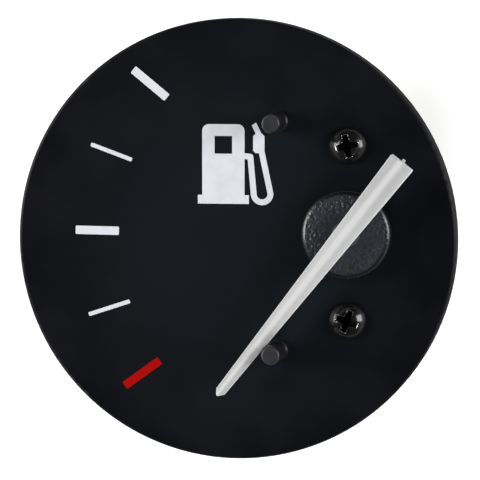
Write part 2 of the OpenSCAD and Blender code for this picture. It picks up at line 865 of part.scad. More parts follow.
// Hexagon spacers, tapped from both ends
module spacers() {
    tap_l = spacer_screw_l - min(bridge_t, base_t) + hole_rest;
    length = z_bridge - z_base;
    color([0.8, 0.65, 0.35])
        for (p = spacer_at)
            translate([p[0], p[1], z_base])
                difference() {
                    cylinder(h = length, d = spacer_flats / cos(30), $fn = 6);
                    translate([0, 0, -eps])
                        cylinder(h = tap_l + eps, d = screw_d + 2 * thread_play);
                    translate([0, 0, length - tap_l])
                        cylinder(h = tap_l + eps, d = screw_d + 2 * thread_play);
                }
}

module spacer_screws() {
    color([0.7, 0.71, 0.73])
        for (p = spacer_at) {
            translate([p[0], p[1], z_seat])
                pan_screw(spacer_screw_l, 30);
            translate([p[0], p[1], z_plate])
                mirror([0, 0, 1])
                    pan_screw(spacer_screw_l, 60);
        }
}

// Terminal base

// Outline of the base, drawn in by inset
module base_outline(inset) {
    intersection() {
        translate(stud_circle)
            circle(stud_pcd / 2 + base_margin - inset);
        circle(dial_r - base_inset - inset);
    }
}

// Moulded base: plate, rim, ribs, stud bosses and the locating pin
module terminal_base() {
    color([0.12, 0.12, 0.13])
        difference() {
            union() {
                translate([0, 0, z_plate])
                    linear_extrude(base_t)
                        base_outline(0);
                translate([0, 0, stud_free])
                    linear_extrude(rib_h + eps) {
                        difference() {
                            base_outline(0);
                            base_outline(rib_w);
                        }
                        for (p = stud_at) {
                            bar(stud_circle, p, rib_w);
                            translate(p)
                                circle(d = stud_boss_d);
                        }
                        translate(locator_at)
                            circle(d = locator_d + 2 * rib_w);
                        difference() {
                            translate(stud_circle)
                                circle(d = base_ring_d);
                            translate(stud_circle)
                                circle(d = base_ring_d - 2 * rib_w);
                        }
                    }
                translate([locator_at[0], locator_at[1], stud_free - locator_l])
                    cylinder(h = locator_l + eps, d = locator_d);
            }
            translate([pivot_x, pivot_y, z_can])
                cylinder(h = can_seat + eps, r = can_r + can_fit / 2);
            for (p = stud_at)
                translate([p[0], p[1], stud_free - eps])
                    cylinder(h = rib_h + base_t + 2 * eps, d = stud_d + 2 * thread_play);
            for (p = spacer_at)
                translate([p[0], p[1], z_plate - eps])
                    cylinder(h = base_t + 2 * eps, d = screw_d + 2 * screw_play);
        }
}

// Studs with a plain contact pin below, a thread for the nut and a hexagon head above the solder tag
module contact_studs() {
    head_z = z_base + tag_t;
    color([0.78, 0.68, 0.42])
        for (p = stud_at)
            translate([p[0], p[1], 0]) {
                rotate_extrude()
                    polygon([[0, 0], [pin_d / 2 - stud_chamfer, 0], [pin_d / 2, stud_chamfer],
                             [pin_d / 2, pin_l], [stud_d / 2 - stud_chamfer, pin_l],
                             [stud_d / 2, pin_l + stud_chamfer],
                             [stud_d / 2, head_z + eps], [0, head_z + eps]]);
                translate([0, 0, head_z])
                    cylinder(h = stud_head_h, d = stud_head_flats / cos(30), $fn = 6);
            }
}

// Solder tags: a ring under the stud's head and a lug bent up
module terminal_tags() {
    color([0.85, 0.8, 0.6])
        for (i = [0, 1, 2])
            translate([stud_at[i][0], stud_at[i][1], z_base])
                rotate(lug_turns[i]) {
                    difference() {
                        linear_extrude(tag_t) {
                            circle(d = tag_ring_d);
                            bar([0, 0], [lug_reach + tag_t / 2, 0], lug_w);
                        }
                        translate([0, 0, -eps])
                            cylinder(h = tag_t + 2 * eps, d = stud_d + 2 * tag_play);
                    }
                    translate([lug_reach - tag_t / 2, -lug_w / 2, 0])
                        cube([tag_t, lug_w, lug_h]);
                }
}

// Split spring washers under the base
module lock_washers() {
    color([0.6, 0.61, 0.63])
        for (p = stud_at)
            translate([p[0], p[1], stud_free - washer_t])
                difference() {
                    cylinder(h = washer_t, d = washer_d);
                    translate([0, 0, -eps])
                        cylinder(h = washer_t + 2 * eps, d = stud_d + 2 * tag_play);
                    rotate(60)
                        translate([0, -washer_slit / 2, -eps])
                            cube([washer_d, washer_slit, washer_t + 2 * eps]);
                }
}

// Hexagon nuts with turned-off corners
module stud_nuts() {
    corner_r = nut_flats / cos(30) / 2;
    color([0.8, 0.7, 0.45])
        for (p = stud_at)
            translate([p[0], p[1], stud_free - washer_t - nut_t])
                difference() {
                    intersection() {
                        cylinder(h = nut_t, r = corner_r, $fn = 6);
                        rotate_extrude()
                            polygon([[0, 0], [nut_flats / 2, 0],
                                     [corner_r, (corner_r - nut_flats / 2) * tan(30)],
                                     [corner_r, nut_t], [0, nut_t]]);
                    }
                    translate([0, 0, -eps])
                        cylinder(h = nut_t + 2 * eps, d = stud_d + 2 * thread_play);
                }
}

// Resistor between the first two tags, with thicker end caps
module resistor() {
    color([0.8, 0.72, 0.5])
        translate(resistor_foot)
            rotate([0, 90, atan2(leg_run[1], leg_run[0])])
                rotate_extrude($fn = 48)
                    difference() {
                        square([resistor_d / 2, resistor_l]);
                        translate([resistor_d / 2 - resistor_waist, resistor_cap])
                            square([resistor_d, resistor_l - 2 * resistor_cap]);
                        corner_off(resistor_d / 2, resistor_l, resistor_round);
                        translate([0, resistor_l])
                            mirror([0, 1])
                                corner_off(resistor_d / 2, resistor_l, resistor_round);
                    }
}

module resistor_legs() {
    color([0.75, 0.75, 0.76]) {
        wire(leg_start, resistor_foot, leg_d);
        bent_wire(resistor_foot + leg_run * resistor_l, leg_bend, leg_end, leg_d);
    }
}

// Coil wires from the windings through the can's notches to the tags
module coil_leads() {
    color([0.6, 0.25, 0.1]) {
        wire(front_lead[0], front_lead[1], lead_d);
        for (i = [1, 2], s = sign(stud_at[i][1] - pivot_y))
            wire([side_lead[0][0], pivot_y + s * side_lead[0][1], side_lead_z],
                 [side_lead[1][0], pivot_y + s * side_lead[1][1], z_base + lug_h / 2], lead_d);
    }
}

dial_plate();
scale_marks();
empty_mark();
pump_sign();
stop_pegs();
dial_screws();
bridge_plate();
spacers();
spacer_screws();
shield_can();
lower_bobbin();
upper_bobbin();
inner_coil();
outer_coil();
lower_bearing();
upper_bearing();
return_magnet();
terminal_base();
contact_studs();
terminal_tags();
lock_washers();
stud_nuts();
resistor();
resistor_legs();
coil_leads();
needle();
hub_cap();
pointer_bush();
spindle();
rotor_magnet();
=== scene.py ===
# %% [markdown]
# # A fuel gauge, dressed for its portrait
#
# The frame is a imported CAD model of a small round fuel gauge: a black dial with a printed scale, a white
# needle on a moving-magnet spindle, and the movement, terminal base and contact studs behind it. This lesson
# puts finishes on it and replaces the pieces whose real shape is finer than the CAD solid: the screws, the
# needle and its hub, the windings, the wires. Every piece is worked out in the frame's own coordinates, so
# it lands where the solid is.

# %% Load the frame
import json
import bmesh
import bpy
import numpy as np
from mathutils import Matrix, Vector


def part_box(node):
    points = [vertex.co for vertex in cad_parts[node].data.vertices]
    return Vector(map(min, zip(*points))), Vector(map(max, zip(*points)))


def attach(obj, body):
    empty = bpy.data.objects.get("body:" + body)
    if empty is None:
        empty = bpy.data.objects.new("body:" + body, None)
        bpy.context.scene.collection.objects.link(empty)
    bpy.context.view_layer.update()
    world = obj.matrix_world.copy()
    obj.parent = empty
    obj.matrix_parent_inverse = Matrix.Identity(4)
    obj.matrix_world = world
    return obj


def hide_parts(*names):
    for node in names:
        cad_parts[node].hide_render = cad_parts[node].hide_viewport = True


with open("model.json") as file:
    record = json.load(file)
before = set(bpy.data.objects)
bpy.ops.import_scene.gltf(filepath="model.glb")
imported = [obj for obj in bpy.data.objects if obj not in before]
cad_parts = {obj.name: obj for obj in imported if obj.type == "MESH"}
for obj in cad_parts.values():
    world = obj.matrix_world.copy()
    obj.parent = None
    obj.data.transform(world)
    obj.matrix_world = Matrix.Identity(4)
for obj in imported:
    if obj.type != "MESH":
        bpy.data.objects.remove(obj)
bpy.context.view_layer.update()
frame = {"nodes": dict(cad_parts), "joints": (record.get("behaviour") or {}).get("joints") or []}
nodes = frame["nodes"]

# %% [markdown]
# ## Sizes
#
# Lengths are in millimetres here, and turned into metres only when a mesh or a material is made. Heights
# and places that the frame already holds are measured from it, so they can't drift from the CAD. Sizes that
# no box shows, such as the needle's roof or the recess of a screw, are named where they are needed.

# %% Measure the frame
MM = 0.001
UP = np.array([0.0, 0.0, 1.0])


def corners(node):
    """Lowest and highest corner of a CAD node, in millimetres."""
    low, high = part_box(node)
    return np.array(low) / MM, np.array(high) / MM


hub_low, hub_high = corners("hub_cap")
pivot = (hub_low[:2] + hub_high[:2]) / 2
face_z = corners("dial_plate")[1][2]
base_top = corners("terminal_base")[1][2]
joint = next(j for j in frame["joints"] if j["name"] == "pointer_swing")
print("pivot", pivot.round(3), "dial face at", face_z.round(3), "joint at", joint["pos_m"])

# %% [markdown]
# ## The camera
#
# The photograph looks almost straight at the dial from far off. The rim's wall shows only on the right, so
# the camera stands 8.5 degrees to the right of the dial's axis and 4.5 degrees above it. The dial faces +Z
# and its top is +Y, so the camera looks down with +Y up in the picture. A long lens keeps the perspective
# flat, and a tiny shift puts the dial where the photograph has it.

# %% Make the camera
def new_object(name, data):
    """An object in the scene that holds a mesh, a lamp or a camera."""
    made = bpy.data.objects.new(name, data)
    bpy.context.scene.collection.objects.link(made)
    return made


SIDE, RISE, FAR = np.radians(8.5), np.radians(4.5), 0.5
LENS, SHIFT_X, SHIFT_Y = 276.4, 0.00873, -0.001
toward = np.array([np.sin(SIDE) * np.cos(RISE), np.sin(RISE), np.cos(SIDE) * np.cos(RISE)])
right = np.cross(-toward, [0.0, 1.0, 0.0])
right /= np.linalg.norm(right)
upward = np.cross(right, -toward)
target = np.array([0.0, 0.0, face_z * MM])
turned = np.eye(4)
turned[:3, :3] = np.column_stack([right, upward, toward])
turned[:3, 3] = target + FAR * toward
camera = new_object("camera", bpy.data.cameras.new("camera"))
camera.matrix_world = Matrix(turned.tolist())
camera.data.sensor_width = 36.0
camera.data.lens = LENS
camera.data.shift_x, camera.data.shift_y = SHIFT_X, SHIFT_Y
camera.data.clip_start, camera.data.clip_end = 0.05, 20.0
bpy.context.scene.camera = camera
print("camera at", turned[:3, 3].round(3))

# %% [markdown]
# ## Skins: how every new shape is made
#
# A turned peg, a bent wire and a screw's head are all the same thing to numpy: a grid of points P[row,
# column], where the rows run along the piece and the columns run round it. It could be built from primitives
# and booleans, but one array is shorter, exact, and leaves even quads that shade well. A row in which all
# points fall together closes the end as a pole. One helper turns a list of such skins into a mesh, merges
# doubled points and turns all faces outwards. Each vertex can carry a number, such as how worn it is.

# %% Skins and meshes
ROUND = 96
SAME_SPOT = 1e-7


def skin(points, loop_rows=False, **carried):
    """One surface, closed round its columns: points[row, column, xyz] in mm, whether the rows close on
    themselves too, and numbers that each point carries, as plain values or arrays that fit the grid."""
    carried = {key: np.broadcast_to(value, points.shape[:2]) for key, value in carried.items()}
    return {"points": points, "loop_rows": loop_rows, "carried": carried}


def capped(rows):
    """The rows with a pole before and behind them that closes the end: the mean of the end's row."""
    first, last = (np.repeat(rows[k].mean(0)[None, None], rows.shape[1], 1) for k in (0, -1))
    return np.concatenate([first, rows, last])


def quads(rows, columns, loop_rows, loop_columns, first):
    """Corner numbers of the cells of a grid: each cell joins a point to its neighbours right, above and
    right above, and where a direction loops, the last line of cells joins back to the first points."""
    i = np.arange(rows if loop_rows else rows - 1)[:, None]
    j = np.arange(columns if loop_columns else columns - 1)[None, :]
    up, over = (i + 1) % rows, (j + 1) % columns
    cells = np.stack([i * columns + j, i * columns + over, up * columns + over, up * columns + j], -1)
    return cells.reshape(-1, 4) + first


def make_piece(name, skins, look, stands_for=(), body="gauge", sharp=32.0):
    """Puts skins into one mesh, closes poles and seams by merging points that fall together, turns the
    faces outwards, shades it smooth but for edges sharper than an angle in degrees, gives it a finish and
    lets it ride on a body. stands_for names the CAD nodes that it replaces."""
    starts = np.cumsum([0] + [s["points"][..., 0].size for s in skins])
    points = np.concatenate([s["points"].reshape(-1, 3) for s in skins]) * MM
    faces = np.concatenate([quads(*s["points"].shape[:2], s["loop_rows"], True, n)
                            for s, n in zip(skins, starts)])
    mesh = bpy.data.meshes.new(name)
    mesh.from_pydata(points.tolist(), [], faces.tolist())
    for key in sorted({k for s in skins for k in s["carried"]}):
        values = [s["carried"].get(key, np.zeros(s["points"].shape[:2])).ravel() for s in skins]
        spots = mesh.attributes.new(key, "FLOAT", "POINT").data
        spots.foreach_set("value", np.concatenate(values).astype(np.float32))
    work = bmesh.new()
    work.from_mesh(mesh)
    bmesh.ops.remove_doubles(work, verts=work.verts, dist=SAME_SPOT)
    bmesh.ops.dissolve_degenerate(work, edges=work.edges, dist=SAME_SPOT / 10)
    bmesh.ops.recalc_face_normals(work, faces=work.faces)
    work.to_mesh(mesh)
    work.free()
    mesh.polygons.foreach_set("use_smooth", np.ones(len(mesh.polygons), bool))
    mesh.set_sharp_from_angle(angle=np.radians(sharp))
    mesh.materials.append(finish[look])
    piece = new_object(name, mesh)
    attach(piece, body)
    if stands_for:
        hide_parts(*stands_for)
    print(f"{name}: {len(skins)} skins, {len(mesh.polygons)} faces")


# %% [markdown]
# ## Profiles, lathes and tubes
#
# Moulded and turned pieces have no knife-sharp corners: the small rounding along an edge catches the light.
# So profiles are drawn with sharp corners, as in the CAD, and each corner is then replaced by an arc. A
# lathe turns such a profile round an axis, and a tube carries a circle along a path.

# %% Profile helpers
def round_corners(points, radii, steps=6):
    """Replaces each corner of a line of points by a curve. The curve leaves the corner's two sides at the
    radius' distance and is the quadratic blend (1-t)^2 A + 2 t (1-t) corner + t^2 B between those places,
    which comes close to a circular arc."""
    points = np.asarray(points, float)
    t = np.linspace(0, 1, steps)[:, None]
    line = [points[:1]]
    for before, corner, after, radius in zip(points[:-2], points[1:-1], points[2:], radii[1:-1]):
        if radius == 0:
            line.append(corner[None])
            continue
        a, b = before - corner, after - corner
        a *= min(radius, 0.5 * np.linalg.norm(a)) / np.linalg.norm(a)
        b *= min(radius, 0.5 * np.linalg.norm(b)) / np.linalg.norm(b)
        line.append(corner + (1 - t) ** 2 * a + t ** 2 * b)
    return np.concatenate(line + [points[-1:]])


def smooth(value):
    """0 below 0, 1 above 1 and an S-shaped rise between, 3 v^2 - 2 v^3."""
    v = np.clip(value, 0, 1)
    return v * v * (3 - 2 * v)


def angles(sides=ROUND):
    """Directions of a full turn, in radians, the last one not repeated."""
    return np.linspace(0, 2 * np.pi, sides, endpoint=False)


def upright(r, z, a, x, y, **more):
    """Skin of rows round the upright axis through (x, y): a point is (x + r cos a, y + r sin a, z)."""
    return skin(np.stack(np.broadcast_arrays(x + r * np.cos(a), y + r * np.sin(a), z), -1), **more)


def lathe(profile, x, y, z, sides=ROUND, **carried):
    """Turns a profile of (radius, height) points round the upright axis through (x, y), where its heights
    count from z."""
    r, h = np.asarray(profile, float).T[..., None]
    return upright(r, z + h, angles(sides), x, y, **carried)


def stack_rows(sides, *parts):
    """Stacks rows of a grid. A part with one number for each row has it spread over all the sides."""
    return np.concatenate([np.broadcast_to(np.reshape(p, (len(p), -1)), (len(p), sides)) for p in parts])


def tube(path, radius, sides=20):
    """Carries a circle along a path that is nowhere upright. The circle stands square to the path's
    direction d, in the plane of d x up and (d x up) x d."""
    way = np.gradient(path, axis=0)
    way /= np.linalg.norm(way, axis=1, keepdims=True)
    one = np.cross(way, UP)
    one /= np.linalg.norm(one, axis=1, keepdims=True)
    two = np.cross(one, way)
    a = angles(sides)[:, None]
    return skin(capped(path[:, None] + radius * (np.cos(a) * one[:, None] + np.sin(a) * two[:, None])))


def pair(node, rim):
    """The two axes of a node that has one piece above the other: the middle of its box in x, and rim in
    from the box's top and bottom edge in y."""
    low, high = corners(node)
    x = (low[0] + high[0]) / 2
    return [(x, high[1] - rim), (x, low[1] + rim)]


# %% [markdown]
# ## Shader maths in plain Python
#
# A finish is a small sum over the surface: a colour with clouds in it, a roughness that goes up where tools
# have been, a bump for grain. Wiring nodes by hand hides that sum, so one class wraps a socket and lets
# Python's own operators add the Math nodes. All nodes come from one method, and numbers that are the same
# all over the surface are set on the shader's sockets directly.

# %% The shader helper
class Wire:
    """A socket to reckon with: wire * 2 + 1 or 1 - wire add the Math nodes that say so."""

    def __init__(self, sheet, socket):
        self.sheet, self.socket = sheet, socket

    def _do(self, operation, first, second):
        return self.sheet.node("Math", {0: first, 1: second}, operation=operation)

    def __add__(self, other):
        return self._do("ADD", self, other)

    def __sub__(self, other):
        return self._do("SUBTRACT", self, other)

    def __rsub__(self, other):
        return self._do("SUBTRACT", other, self)

    def __mul__(self, other):
        return self._do("MULTIPLY", self, other)

    __radd__, __rmul__ = __add__, __mul__

    def size(self):
        """The value without its sign."""
        return self._do("ABSOLUTE", self, 0.0)

    def also(self, out):
        """Another output of the same node."""
        return Wire(self.sheet, self.socket.node.outputs[out])

    def between(self, low, high):
        """0 below low, 1 above high, and a soft S between them."""
        return self.sheet.node("MapRange", {0: self, 1: low, 2: high, 3: 0.0, 4: 1.0},
                               interpolation_type="SMOOTHSTEP")


class Sheet:
    """A sheet of nodes: of a material or of the sky."""

    def __init__(self, owner):
        owner.use_nodes = True
        self.tree = owner.node_tree
        self.tree.nodes.clear()

    def feed(self, socket, value):
        """Links a wire to a socket, or sets a plain value on it; a colour of three numbers gets its alpha."""
        if isinstance(value, Wire):
            self.tree.links.new(value.socket, socket)
        elif isinstance(value, tuple) and socket.type == "RGBA":
            socket.default_value = (*value, 1.0)
        else:
            socket.default_value = value

    def node(self, kind, inputs=None, out=0, **settings):
        """Any shader node, with its settings and the values or wires of its sockets, as the output out."""
        made = self.tree.nodes.new("ShaderNode" + kind)
        for key, value in settings.items():
            setattr(made, key, value)
        for key, value in (inputs or {}).items():
            self.feed(made.inputs[key], value)
        return Wire(self, made.outputs[out]) if made.outputs else None


finish = {}
EVEN = (1.0, 1.0, 1.0)


class Finish(Sheet):
    """One procedural material, kept under its name, with its shader and the patterns that feed it."""

    def __init__(self, name):
        self.material = finish[name] = bpy.data.materials.new(name)
        super().__init__(self.material)
        surface = self.node("BsdfPrincipled")
        self.node("OutputMaterial", {0: surface})
        self.shader = surface.socket.node
        print("finish", name)

    def where(self, stretch=EVEN):
        """The piece's own coordinates in metres, stretched along each axis."""
        place = self.node("TexCoord", out="Object")
        return self.node("Mapping", {0: place, 3: stretch})

    def noise(self, size, detail=2.0, stretch=EVEN, rough=0.5):
        """Cloudy noise from 0 to 1 with spots of about the given size in millimetres."""
        return self.node("TexNoise", {"Vector": self.where(stretch), "Scale": 1 / (size * MM),
                                      "Detail": detail, "Roughness": rough})

    def cells(self, size):
        """Distance to the nearest of scattered points that lie about the given size in millimetres apart."""
        return self.node("TexVoronoi", {"Vector": self.where(), "Scale": 1 / (size * MM)})

    def carried(self, key):
        """A number that the mesh carries on its vertices."""
        return self.node("Attribute", out="Fac", attribute_name=key)

    def mix(self, share, first, second):
        """A colour between two others."""
        return self.node("Mix", {0: share, 6: first, 7: second}, out=2, data_type="RGBA")

    def set(self, colour, rough, bump=None, depth=0.01, **sockets):
        """Feeds the shader. bump is a height from 0 to 1, and depth what 1 means, in millimetres."""
        sockets |= {"Base Color": colour, "Roughness": rough}
        if bump:
            sockets["Normal"] = self.node("Bump", {"Strength": 1.0, "Distance": depth * MM, "Height": bump})
        for key, value in sockets.items():
            self.feed(self.shader.inputs[key.replace("_", " ")], value)


# %% [markdown]
# ## Black mouldings
#
# Dial, pegs, bridge and base are moulded black plastic. It is never one black: it has a very fine grain from
# the mould, faint cloudy gloss where the melt flowed, and a little dust. So most of the life is in the
# roughness, and the grain is a bump of a few thousandths of a millimetre. The dial is the mattest, and the
# pegs shine. The dial's colour fades to a paler middle, which is a painted glow, and the pegs' top faces are
# painted paler, which is a painted highlight.

# %% Moulded plastics
FADE_FROM, FADE_TO, FADE_WANDER = 6 * MM, 31 * MM, 6 * MM
FACE_EDGE, WALL_TOP = (face_z - 0.25) * MM, (face_z - 0.6) * MM
DUST_GREY, WALL_BLACK = (0.35, 0.34, 0.32), (0.001, 0.001, 0.001)


def moulded(name, colour, gloss, grain, depth, cloud=0.18, shine=0.5, dust=0.0, cut=None, middle=None):
    """A moulded plastic. gloss is its mean roughness, grain the size of the mould's grain in millimetres,
    cloud how far colour and gloss wander, dust how much pale dust there is, cut the colour of a painted
    highlight where the mesh marks it, and middle the colour of a painted glow that a plate fades to near its
    axis, by the distance sqrt(x^2 + (0.85 y)^2). Such a plate's side wall, below its face, is rougher and
    darker."""
    f = Finish(name)
    wide, fine = f.noise(9.0, 3.0), f.noise(grain, 4.0, rough=0.6)
    specks = f.noise(0.5, 5.0, rough=0.7).between(0.62, 0.78)
    lighter = tuple(min(1.0, c * (1 + 2 * cloud) + 0.002) for c in colour)
    darker = tuple(c * (1 - cloud) for c in colour)
    base = f.mix(wide.between(0.3, 0.7), darker, lighter)
    # Painted light: the colour turns paler towards the plate's axis, a painted glow.
    if middle:
        level = f.where((1.0, 0.85, 0.0))
        radius = f.node("VectorMath", {0: level}, out="Value", operation="LENGTH")
        base = f.mix(1 - (radius + (wide - 0.5) * FADE_WANDER).between(FADE_FROM, FADE_TO), base, middle)
    if dust:
        base = f.mix(specks * dust, base, DUST_GREY)
    rough = gloss + (wide - 0.5) * (0.6 * cloud) + (fine - 0.5) * 0.12 + specks * 0.08
    if middle:
        deep = f.node("SeparateXYZ", {0: f.where()}, out="Z")
        wall = 1 - deep.between(WALL_TOP, FACE_EDGE)
        rough, base = rough + wall * 0.5, f.mix(wall, base, WALL_BLACK)
    # A painted highlight: a paler, mottled colour where the mesh marks it.
    if cut:
        top_light_share = f.carried("cut") * (0.35 + f.noise(1.6, 4.0) * 1.1)
        base = f.mix(top_light_share, base, cut)
        rough = rough + top_light_share * 0.3
    f.set(base, rough, bump=fine, depth=depth, Specular_IOR_Level=shine)


# The dial's middle colour is a painted glow.
moulded("dial_black", (0.0022, 0.0023, 0.0036), 0.46, 0.16, 0.004, shine=0.12, dust=0.004,
        middle=(0.0066, 0.009, 0.0114))
moulded("peg_black", (0.006, 0.006, 0.007), 0.3, 0.3, 0.002, cut=(0.019, 0.0195, 0.022))
moulded("moulded_black", (0.014, 0.0145, 0.016), 0.45, 0.22, 0.01, shine=0.35, dust=0.02)
moulded("natural_plastic", (0.66, 0.62, 0.5), 0.42, 0.3, 0.006, cloud=0.06)

# %% [markdown]
# ## Printed ink
#
# The ticks and the pump sign are pad-printed: a coat of matt ink with a faint orange-peel skin. White ink on
# black never quite covers, so the black shows through as a slight greyness in clouds. The same recipe with a
# strong red makes the empty mark.

# %% Inks
def printed(name, colour, under, cover=0.12, shine=0.2):
    """A coat of ink: clouds and pinholes let a share of the dark ground through."""
    f = Finish(name)
    thin = f.noise(1.4, 4.0).between(0.35, 0.75) * cover
    pinholes = f.noise(0.12, 2.0).between(0.7, 0.8) * 0.35
    base = f.mix(thin + pinholes, colour, under)
    peel = f.noise(0.25, 2.0)
    f.set(base, 0.55 + (peel - 0.5) * 0.2, bump=peel, depth=0.004, Specular_IOR_Level=shine)


printed("white_ink", (0.7, 0.72, 0.76), (0.25, 0.27, 0.3))
printed("red_ink", (0.38, 0.0022, 0.0012), (0.2, 0.001, 0.001), shine=0.08)

# %% [markdown]
# ## The needle's plastic and the hub's spark-eroded skin
#
# The needle is moulded in white that has been toned down to a light grey so that it doesn't glare, with a
# satin gloss. The hub's cap is dark grey and its mould was spark-eroded: a pebbly skin of little craters.
# Craters are what a cell texture gives: the distance to scattered points, softened to round dimples.

# %% Needle and hub
def needle_plastic():
    """Satin light grey with faint flow clouds, fine grain and a few specks. The crest and the rims are paler,
    which is a painted highlight, and the slopes between them are a little darker, which is painted shade."""
    f = Finish("needle_white")
    wide, fine = f.noise(5.0, 3.0), f.noise(0.2, 3.0)
    # Painted light: crest, rims and the middle of the blade's length are paler, the slopes darker.
    clean = (f.carried("clean") + (wide - 0.5) * 0.35).between(0.0, 1.0)
    base = f.mix(clean, (0.45, 0.45, 0.455), (0.655, 0.655, 0.65))
    base = f.mix(f.noise(0.6, 4.0).between(0.66, 0.8) * 0.15, base, (0.4, 0.39, 0.37))
    f.set(base, 0.4 + (wide - 0.5) * 0.15, bump=fine, depth=0.004, Specular_IOR_Level=0.45)


def spark_eroded():
    """Dark grey with round dimples in two sizes. Its colour is darker in the dimples, which is painted shade,
    and paler on the rims between them, which is a painted highlight; the rims are also worn a little
    smoother. The shoulder is glossier than the face, and its colour is darker, which is painted shade."""
    f = Finish("hub_grey")
    big, small = f.cells(0.55), f.cells(0.28)
    pits = big.between(0.1, 0.75) * 0.65 + small.between(0.1, 0.8) * 0.35
    wide = f.noise(3.0, 3.0)
    # Painted shade in the dimples and a painted highlight on the rims between them.
    base = f.mix(pits, (0.013, 0.0145, 0.018), (0.036, 0.04, 0.049))
    base = f.mix(wide.between(0.45, 0.8) * 0.4, base, (0.04, 0.0445, 0.053))
    shoulder, worn = f.carried("shoulder"), f.carried("rub")
    # Painted shade: the shoulder's colour is darkened.
    base = f.mix(shoulder, base, (0.006, 0.0065, 0.008))
    rough = 0.46 - pits * 0.14 - shoulder * 0.1
    f.set(base, rough, bump=pits * worn, depth=0.1, Specular_IOR_Level=0.5)


needle_plastic()
spark_eroded()

# %% [markdown]
# ## Metals
#
# All the metals share one recipe with different numbers: a metal colour that tarnishes in clouds, fine lines
# from turning, drawing or grinding, and a roughness that goes up in the tarnish. The lines are noise that is
# squeezed in height, so they run round upright turned pieces. The screws carry a number for wear, so that
# the black zinc is worn through to bright steel along the rim of the recess, which also serves as a painted
# highlight there, and a number for the recess' depth, which paints shade into it as black.

# %% Metal recipe
def metal(name, colour, tarnish, gloss, lines=(1.0, 1.0, 14.0), metallic=1.0, stain=0.5, wear_and_glint_colour=None,
          shine=0.5):
    """A metal with tarnish clouds and tool lines: lines says how their noise is squeezed.
    wear_and_glint_colour shows where the mesh's wear number is high: worn metal that also serves as a painted
    highlight. Its pit number says how deep a recess is, and there the colour is painted black as shade."""
    f = Finish(name)
    wide = f.noise(2.5, 4.0, rough=0.6)
    tool = f.noise(1.2, 3.0, stretch=lines)
    spots = f.noise(0.35, 4.0, rough=0.7).between(0.6, 0.75)
    aged = (wide.between(0.35, 0.75) * 0.8 + spots * 0.4) * stain
    base = f.mix(aged, colour, tarnish)
    rough = gloss + aged * 0.18 + (tool - 0.5) * 0.16
    if wear_and_glint_colour:
        # Worn bright metal along the recess rim, which is also a painted highlight; painted shade makes the
        # recess black.
        worn = (f.carried("wear") + (f.noise(0.25, 3.0) - 0.5) * 0.7).between(0.45, 0.8)
        pit = f.carried("pit").between(0.15, 0.6)
        base = f.mix(pit, f.mix(worn, base, wear_and_glint_colour), (0.004, 0.004, 0.004))
        rough = rough - worn * 0.1 + pit * 0.25
        if metallic < 1:
            metallic = metallic + (worn + pit * (1 - worn)) * (1 - metallic)
    f.set(base, rough, bump=tool, depth=0.003, Metallic=metallic, Specular_IOR_Level=shine)


metal("black_zinc", (0.012, 0.012, 0.012), (0.022, 0.021, 0.019), 0.13, EVEN, metallic=0.5,
      wear_and_glint_colour=(0.5, 0.5, 0.5), shine=0.7)
metal("turned_brass", (0.6, 0.43, 0.2), (0.44, 0.29, 0.12), 0.27, stain=0.35)
metal("zinc_steel", (0.5, 0.51, 0.53), (0.34, 0.35, 0.36), 0.3, wear_and_glint_colour=(0.5, 0.5, 0.51), stain=0.4)
metal("can_steel", (0.4, 0.405, 0.41), (0.3, 0.3, 0.3), 0.36, (9.0, 9.0, 0.6), stain=0.3)
metal("stud_brass", (0.58, 0.46, 0.25), (0.42, 0.31, 0.15), 0.27, stain=0.35)
metal("tinned_brass", (0.55, 0.53, 0.48), (0.4, 0.37, 0.31), 0.32, EVEN)
metal("tinned_wire", (0.54, 0.54, 0.53), (0.38, 0.38, 0.37), 0.32, EVEN)
metal("spindle_steel", (0.66, 0.66, 0.67), (0.5, 0.5, 0.5), 0.16, (1.0, 1.0, 30.0))

# %% [markdown]
# ## Windings, magnets and the resistor's lacquer
#
# Enamelled copper looks red-brown and glossy: its enamel is a real clear coat here. Sintered magnets are dark
# and granular. The resistor is dipped in beige lacquer with printed colour bands, which read the length
# along the body that its mesh carries.

# %% Copper, magnet, lacquer
def enamelled_copper():
    """Copper that differs a little in colour from strand to strand, under a clear coat."""
    f = Finish("enamelled_wire")
    strand = f.noise(0.5, 3.0)
    base = f.mix(strand.between(0.3, 0.7), (0.36, 0.11, 0.035), (0.56, 0.2, 0.07))
    f.set(base, 0.32 + strand * 0.1, bump=f.noise(0.15, 2.0), depth=0.003, Metallic=0.9, Coat_Weight=0.7)


def sintered():
    """Dark grey grains with a few that catch the light."""
    f = Finish("magnet_grey")
    grains, wide = f.cells(0.14), f.noise(1.5, 3.0)
    base = f.mix(grains.between(0.2, 0.8), (0.05, 0.05, 0.054), (0.1, 0.1, 0.105))
    f.set(base, 0.42 + wide * 0.2, bump=grains, depth=0.01, Metallic=0.35)


BAND_W, BAND_BLUR = 0.42, 0.04
BANDS = ((1.75, (0.25, 0.08, 0.03)), (2.55, (0.01, 0.01, 0.01)), (3.35, (0.25, 0.08, 0.03)),
         (4.6, (0.5, 0.33, 0.08)))


def lacquered():
    """Beige lacquer with four colour bands, each a soft-edged strip of the length along the body."""
    f = Finish("resistor_body")
    along, wide = f.carried("along"), f.noise(0.9, 3.0)
    base = f.mix(wide, (0.5, 0.36, 0.2), (0.62, 0.47, 0.28))
    for place, colour in BANDS:
        end = along.between(place + BAND_W, place + BAND_W + BAND_BLUR)
        strip = along.between(place - BAND_BLUR, place) * (1 - end)
        base = f.mix(strip, base, colour)
    f.set(base, 0.28 + wide * 0.1, bump=wide, depth=0.02, Coat_Weight=0.4)


enamelled_copper()
sintered()
lacquered()

# %% [markdown]
# ## Dress the CAD nodes
#
# Every node of the frame has a slot that is named like its finish in the record. The slot is given the
# procedural material, and the mesh stays as it is.

